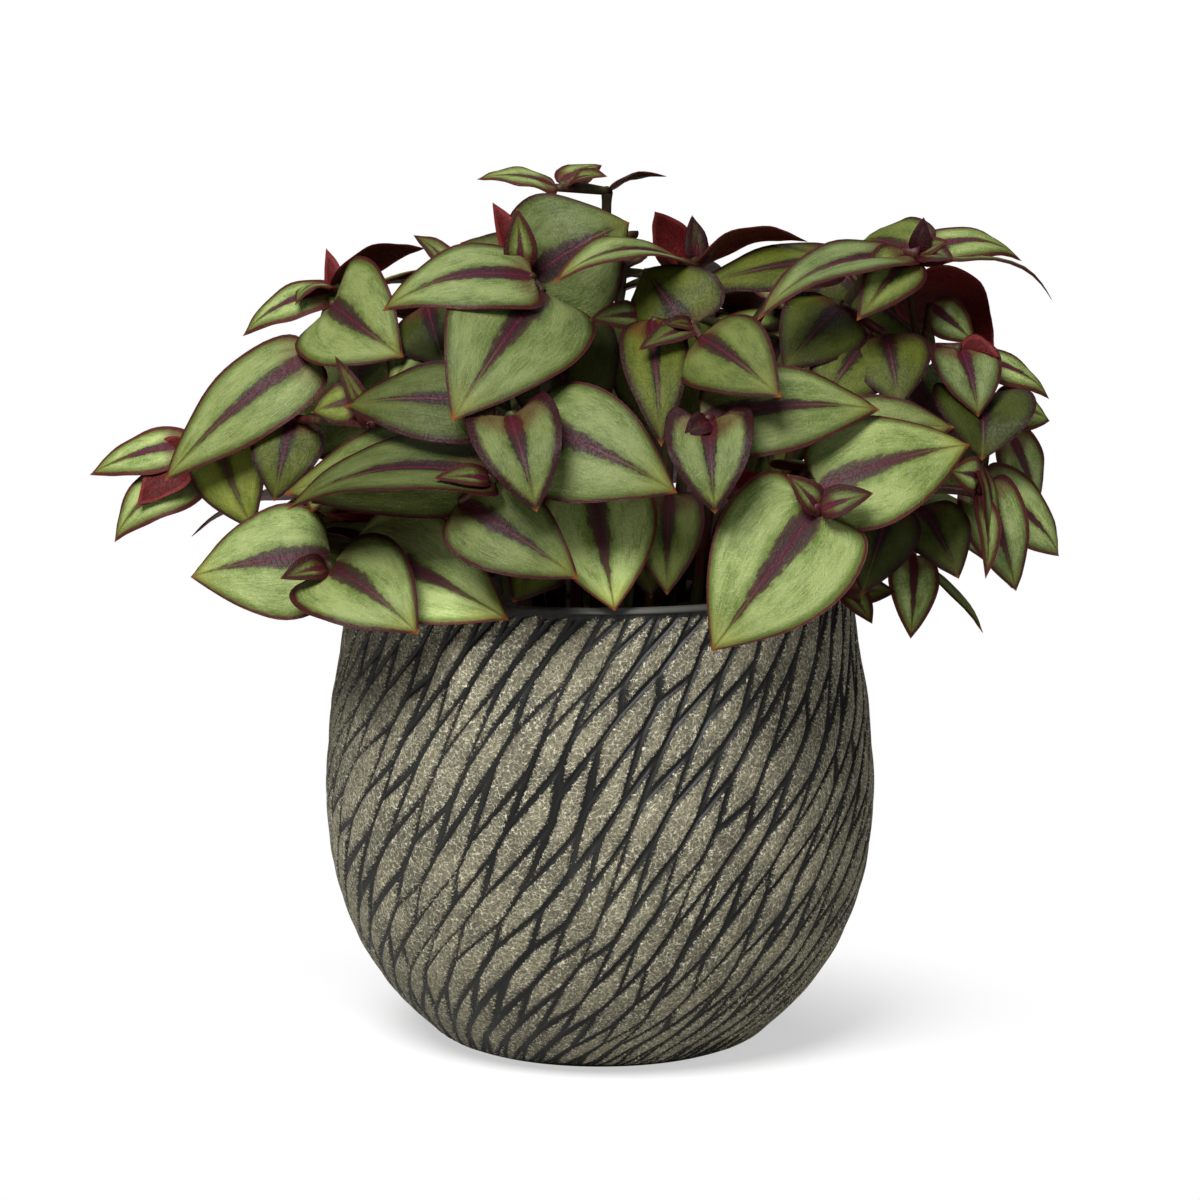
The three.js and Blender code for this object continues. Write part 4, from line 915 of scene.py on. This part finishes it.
def blade_points(leaf, rib, across, along, side):
    """Points of a blade and their normals. along runs from the base, 0, to the tip, 1, and
    side from -1 to 1 across. The half width grows as a power of the distance from the base
    and shrinks as another power of the distance from the tip. Lobes reach back with the
    square of side, the halves fold up along the rib, and the edges droop."""
    p, q = WIDEST
    widest = (p / (p + q)) ** p * (q / (p + q)) ** q
    half = leaf["width"] / 2 * along**p * (1 - along) ** q / widest
    reach = leaf["lobe"] * side**2 * along / LOBE_REACH * np.exp(1 - along / LOBE_REACH)
    place = along - reach
    on = np.clip(place, 0, 1)[..., None]
    rest = 1 - on
    v0, v1, v2, v3 = rib
    tangent = 3 * rest**2 * (v1 - v0) + 6 * rest * on * (v2 - v1) + 3 * on**2 * (v3 - v2)
    point = rest**3 * v0 + 3 * rest**2 * on * v1 + 3 * rest * on**2 * v2 + on**3 * v3
    point = point + tangent * (place[..., None] - on)
    normal = np.cross(unit(tangent), across)
    rise = half * (leaf["fold"] * np.abs(side) - EDGE_DROOP * side**2)
    return point + (side * half)[..., None] * across + normal * rise[..., None], normal, half


# A leaf's look: its paleness is partly painted shade and light, its yellowness partly a painted
# glow of light through the blade.
LOOK_KEYS = ("tone_and_shade", "olive_and_glow", "blush", "young", "chance")
PLAIN_BLUSH = 0.1


def full_look(look, seed):
    """How pale, how yellow and how flushed a leaf is, with painted shade in its paleness and a
    painted glow in its yellow, scattered a little where no look is given.
    """
    if look:
        return (*look, PLAIN_BLUSH)[:3]
    return 0.35 + 0.25 * scatter(seed + 0.3), 0.25 + 0.2 * scatter(seed * 1.9), PLAIN_BLUSH


GROWN_GRID = (28, 17)
SMALL_GRID = (16, 9)
SMALL_WIDTH = 12
GROWN_WIDTH = 36
YOUNG_WIDTH = 10
RIPPLE = 0.35
RIPPLE_WAVES = 2.3
CREASE = 0.35
CREASE_HALF = 1.1
VEIN = 0.05
VEIN_GAP = 2.4


def blade_parts(leaf, shift, seed):
    """A closed blade: an upper and a lower sheet that meet in a thin edge, with a crease
    along the midrib and ripples toward the edge."""
    rib, across = leaf_frame(leaf, shift)
    rows, columns = SMALL_GRID if leaf["width"] < SMALL_WIDTH else GROWN_GRID
    young = np.clip((GROWN_WIDTH - leaf["width"]) / (GROWN_WIDTH - YOUNG_WIDTH), 0, 1)
    along = 0.5 - 0.5 * np.cos(np.pi * np.linspace(0.0, 1.0, rows))
    side = np.sin(np.pi / 2 * np.linspace(-1.0, 1.0, columns))
    along, side = np.meshgrid(along, side, indexing="ij")
    point, normal, half = blade_points(leaf, rib, across, along, side)
    turn = 2 * np.pi * (along * RIPPLE_WAVES + 0.5 * scatter(seed)) + side
    ripple = RIPPLE * side**2 * np.sin(turn)
    crease = CREASE * np.exp(-((side * half / CREASE_HALF) ** 2))
    crease *= np.sin(np.pi * np.clip(along, 0, 1)) ** 0.5
    veins = VEIN * np.cos(side * half * 2 * np.pi / VEIN_GAP)
    point = point + normal * (ripple * np.minimum(half / 6, 1) - crease + veins)[..., None]
    thick = BLADE / 2 * (1 - 0.8 * side**4) * np.minimum(1.0, 0.25 + half / 3)
    sheets = [point + normal * thick[..., None], point - normal * thick[..., None]]
    count = along.size
    faces = grid_faces(rows, columns)
    left = np.arange(rows) * columns
    right = left + columns - 1
    edge = np.concatenate([left, right[::-1]])
    following = np.roll(edge, -1)
    rim = np.stack([following, edge, edge + count, following + count], -1)
    rim = rim[edge != following]

    def flat(values):
        return np.tile(values.ravel(), 2)

    chance = 0.5 + 0.5 * scatter(seed * 3.1 + 0.7)
    values = (*full_look(leaf["look"], seed), young, chance)
    return {
        "points": np.concatenate([s.reshape(-1, 3) for s in sheets]),
        "faces": np.concatenate([faces, faces[:, ::-1] + count, rim]),
        "uv": np.stack([flat(side) * 0.5 + 0.5, flat(along)], -1),
        "edge_mm": flat((1 - np.abs(side)) * half),
        "rib_mm": flat(np.abs(side) * half),
        "under": np.repeat([0.0, 1.0], count),
        **{key: np.full(2 * count, value) for key, value in zip(LOOK_KEYS, values)},
    }


STEM_SIDES = 12


def tube_parts(centres, radii):
    """A closed tube: rings of points about a line of centres, with a point at each end."""
    way = unit(np.gradient(centres, axis=0))
    guide = (0.0, 1.0, 0.0) if abs(way[len(way) // 2][1]) < 0.9 else (1.0, 0.0, 0.0)
    one = unit(np.cross(guide, way))[:, None]
    two = np.cross(way[:, None], one)
    turn = np.linspace(0, 2 * np.pi, STEM_SIDES, endpoint=False)[:, None]
    ring = one * np.cos(turn) + two * np.sin(turn)
    points = (centres[:, None] + ring * radii[:, None, None]).reshape(-1, 3)
    start = fan_faces(len(points), 0, STEM_SIDES, flip=True)
    end = fan_faces(len(points) + 1, len(points) - STEM_SIDES, STEM_SIDES)
    return {
        "points": np.vstack([points, centres[:1], centres[-1:]]),
        "quads": grid_faces(len(centres), STEM_SIDES, wrap=True),
        "triangles": np.concatenate([start, end]),
    }


def joined(parts, keys, face_keys):
    """Parts as one: their points and attributes in a row, and their faces renumbered."""
    starts = np.cumsum([0] + [len(part["points"]) for part in parts[:-1]])
    whole = {key: np.concatenate([part[key] for part in parts]) for key in ("points", *keys)}
    for key in face_keys:
        whole[key] = np.concatenate([part[key] + start for part, start in zip(parts, starts)])
    return whole


def node_points(name):
    """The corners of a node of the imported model, in millimetres."""
    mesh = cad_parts[name].data
    points = np.empty(len(mesh.vertices) * 3, np.float32)
    mesh.vertices.foreach_get("co", points)
    return points.reshape(-1, 3).astype(float) / MM


def nearest(points, place):
    return np.sqrt(((points - place) ** 2).sum(-1).min())


def found_root(leaves, corners):
    """The root where the model's stem stands: of the places that a root may take, the one
    that the model has a corner at."""
    roots = [root_point(leaves, attempt) for attempt in range(ROOT_TRIES)]
    gaps = [nearest(corners, root) for root in roots]
    return roots[int(np.argmin(gaps))]


def found_shift(leaf, corners):
    """How far the model's leaf is bent, from where its tip lies. None if the model has
    left it out."""
    gaps = [nearest(corners, leaf["tip"](shift)) for shift in SHIFTS]
    best = int(np.argmin(gaps))
    return SHIFTS[best] if gaps[best] < TIP_MISS else None


# A blade is silvery green with fine streaks along its veins, and over it runs a pale network
# of fine wiggly lines, partly its silvery quilting and partly a painted sheen. A purple stripe
# with feathered edges follows the midrib, plain green shows beside it and again toward the
# margin, and the margin itself is a thin purple line. The tip is tan. Every blade darkens toward
# its base, to brown on grown leaves and to red on young ones, which are flushed there, and the
# underside is deep burgundy. How dark and how yellow each blade is stands partly for painted
# shade and a painted glow of light through it.
skin = Finish("leaf")
mix = skin.mix
uv = skin.node("UVMap", uv_map="leaf")
across_leaf = skin.node("SeparateXYZ", {"Vector": uv})
along_leaf = across_leaf.output("Y")
LEAF_KEYS = ("edge_mm", "rib_mm", "under", *LOOK_KEYS)
edge_mm, rib_mm, under, tone_and_shade, olive_and_glow, blush, young, chance = map(skin.attribute, LEAF_KEYS)
side = (across_leaf * 2.0 - 1.0).size()


def toned_and_shaded(dark, pale):
    """A colour that runs from dark to pale with how pale the leaf is, which is partly painted
    shade.
    """
    return mix(tone_and_shade, srgb(*dark), srgb(*pale))


# Each leaf takes its own layer of the noises, whose grains run along the leaf.
shifted = skin.node("CombineXYZ", {"X": across_leaf, "Y": along_leaf, "Z": chance * 30.0})
streak = skin.grain(shifted, (70.0, 13.0, 1.0), 4.0, 0.6)
feather = skin.grain(shifted, (24.0, 16.0, 1.0), 3.0, 0.6)
cloud = skin.grain(shifted, (5.0, 4.0, 1.0), 2.0)
place = skin.object_place()
speck = skin.noise(place, 1800.0, 2.0, 0.6)
curl = skin.noise(place, 620.0, 1.0)
# A pale network of fine wiggly lines: partly the blade's silvery quilting, partly a painted sheen.
sheen_net = 1.0 - (curl - 0.5).size().step(0.01, 0.05)

# Where each part of the pattern lies, as a factor from 0 to 1
half_stripe = (1.0 - along_leaf) ** 0.8 * 0.3 - 0.04 + (cloud - 0.5) * 0.08
past_stripe = side + (feather - 0.5) * 0.2 + (streak - 0.5) * 0.1 - half_stripe
stripe = 1.0 - past_stripe.step(-0.03, 0.03)
stripe_edge = past_stripe.step(-0.1, 0.0) * (1.0 - blush)
beside = 1.0 - past_stripe.step(0.0, 0.16)
outer = 1.0 - (edge_mm + (cloud - 0.5) * 3.0 + (feather - 0.5) * 1.6).step(1.0, 3.4)
rib_line = 1.0 - rib_mm.step(0.1, 0.4)
wide_margin = (young * 0.6 + blush * 1.2) * (1.0 - along_leaf * 0.6)
margin = 1.0 - (edge_mm - wide_margin + (feather - 0.5) * (0.5 + blush * 2.0)).step(0.4, 1.1)
margin_haze = 1.0 - (edge_mm - wide_margin + (feather - 0.5) * 1.6).step(0.8, 2.4)
tip = along_leaf.step(0.94, 1.0)
fading = along_leaf.step(0.72, 0.98)
# Darker toward the base: brown on grown leaves, red on young ones.
base_darkening = 1.0 - (along_leaf + side * 0.08 - young * 0.2 - blush * 0.1).step(0.0, 0.16)
heart = (1.0 - rib_mm.step(0.2, 2.4)) * stripe * (1.0 - fading)
streaks = (streak - 0.5) * 0.9 + (speck - 0.5) * 0.4 + (cloud - 0.5) * 1.1 + 0.4

# The upper side: silver and green, then the stripe, the rib, the base, the margin and tip
# Painted shade and glow: these colours run dark to pale with how pale each leaf is set, partly the
# shade it lies in, and turn yellow as it is set yellower, partly a glow of light through it.
silver = mix(olive_and_glow * 0.8, toned_and_shaded((16, 24, 6), (178, 194, 124)), srgb(126, 134, 44))
green = mix(olive_and_glow * 0.7, toned_and_shaded((10, 16, 4), (92, 118, 44)), srgb(84, 94, 18))
band = mix(streaks.step(0.1, 0.9), silver, green)
# Painted sheen: the pale network lightens the band.
band = mix(sheen_net * 0.2, band, toned_and_shaded((48, 54, 26), (206, 214, 164)))
band = mix(beside * 0.6, band, green)
band = mix(outer * 0.85, band, green)
band = mix(fading * 0.5, band, toned_and_shaded((70, 70, 22), (170, 166, 78)))
purple = mix(blush, toned_and_shaded((22, 6, 14), (58, 26, 42)), srgb(32, 6, 18))
purple = mix(stripe_edge * 0.8, purple, toned_and_shaded((34, 20, 14), (84, 62, 48)))
upper = mix(stripe * (0.96 - olive_and_glow * 0.5) * (1.0 - fading * 0.5), band, purple)
flush = mix((young + blush * 0.5).step(0.2, 0.6), srgb(60, 34, 20), srgb(70, 10, 18))
upper = mix(base_darkening * (0.35 + young * 0.4), upper, flush)
upper = mix(heart * (0.5 - blush * 0.3), upper, toned_and_shaded((38, 6, 22), (74, 18, 44)))
line = mix(along_leaf.step(0.4, 0.8), srgb(88, 18, 44), srgb(84, 84, 30))
upper = mix(rib_line * 0.6, upper, line)
edging = mix(blush, toned_and_shaded((36, 6, 12), (84, 24, 30)), srgb(38, 6, 14))
upper = mix(margin_haze * (0.25 + blush * 0.4), upper, edging)
upper = mix(margin * 0.92, upper, edging)
upper = mix(tip * 0.8, upper, srgb(132, 74, 30))
lower = mix(streak.step(0.3, 0.75), srgb(50, 8, 8), srgb(94, 18, 18))
lower = mix(margin * 0.5, lower, srgb(120, 44, 44))
colour = mix(under, upper, lower)
relief = skin.bump(streak * 0.5 + speck * 0.3 + sheen_net * 0.3, distance=0.0005, strength=0.6)
gloss = skin.principled(colour, 0.44 + (streak - 0.5) * 0.2, relief, specular=0.14)
glow = skin.node("BsdfTranslucent", {"Color": (0.3, 0.38, 0.03, 1.0)})
leaf_material = skin.surface(skin.node("MixShader", {0: 0.05, 1: gloss, 2: glow}))

# A stem is watery green, flushed and streaked with burgundy, in colours kept dark as painted
# shade for the inside of the plant, where the stems stand.
stalk = Finish("stem")
place = stalk.object_place()
flush = stalk.noise(place, 60.0, 3.0)
fibre = stalk.grain(place, (900.0, 900.0, 60.0))
# Painted shade: both stem colours are darker than the stems' own, for the shade inside the plant
colour = stalk.mix(flush.step(0.35, 0.6), srgb(48, 52, 22), srgb(54, 12, 14))
colour = stalk.mix(fibre.step(0.45, 0.75) * 0.4, colour, srgb(84, 70, 46))
relief = stalk.bump(fibre, distance=0.0003, strength=0.5)
stem_material = stalk.surface(stalk.principled(colour, 0.5, relief, specular=0.2))

shoots = {name: [front_leaf(*row) for row in rows] for name, rows in FRONT_SHOOTS.items()}
for k, row in enumerate(BACK_RINGS):
    ring = dict(zip(RING_KEYS, row))
    for i in range(ring["count"]):
        shoots[f"{ring['name']}_{i + 1}"] = ring_shoot(ring, i, 17 * k + 5 * i + 1)

for number, (name, leaves) in enumerate(shoots.items()):
    corners = node_points(name)
    root = found_root(leaves, corners)
    leaves = seat_leaves(leaves, root)
    blades = []
    tubes = []
    at = np.linspace(0, 1, STEM_ROWS)
    centres = stem_points(leaves, root, at)
    radii = STEM_ROOT_RADIUS + (STEM_TIP_RADIUS - STEM_ROOT_RADIUS) * at
    for i, leaf in enumerate(leaves):
        seed = number * 11 + i
        shift = found_shift(leaf, corners)
        if shift is None:
            continue
        blades.append(blade_parts(leaf, shift, seed))
        from_node = np.linalg.norm(centres - leaf["base"], axis=-1)
        radii += NODE_SWELL * np.exp(-((from_node / NODE_REACH) ** 2))
        if leaf["on"] is not None:
            share = np.linspace(0, 1, PETIOLE_ROWS)[:, None]
            line = leaf["on"] + share * (leaf["base"] - leaf["on"])
            tubes.append(tube_parts(line, np.full(PETIOLE_ROWS, PETIOLE_RADIUS)))
    tubes.append(tube_parts(centres, np.minimum(radii, STEM_MOST)))
    blade = joined(blades, ("uv", *LEAF_KEYS), ("faces",))
    # No ripple leaves the model's box
    blade["points"] = np.clip(blade["points"], *(np.array(cad_box) / MM))
    stem = joined(tubes, (), ("quads", "triangles"))
    patterns = {key: blade[key] for key in LEAF_KEYS}
    leaf_mesh = new_mesh(f"{name}_leaves", blade["points"], [blade["faces"]], patterns, blade["uv"])
    stem_mesh = new_mesh(f"{name}_stem", stem["points"], [stem["quads"], stem["triangles"]])
    new_piece(leaf_mesh, leaf_material, name)
    new_piece(stem_mesh, stem_material, name)
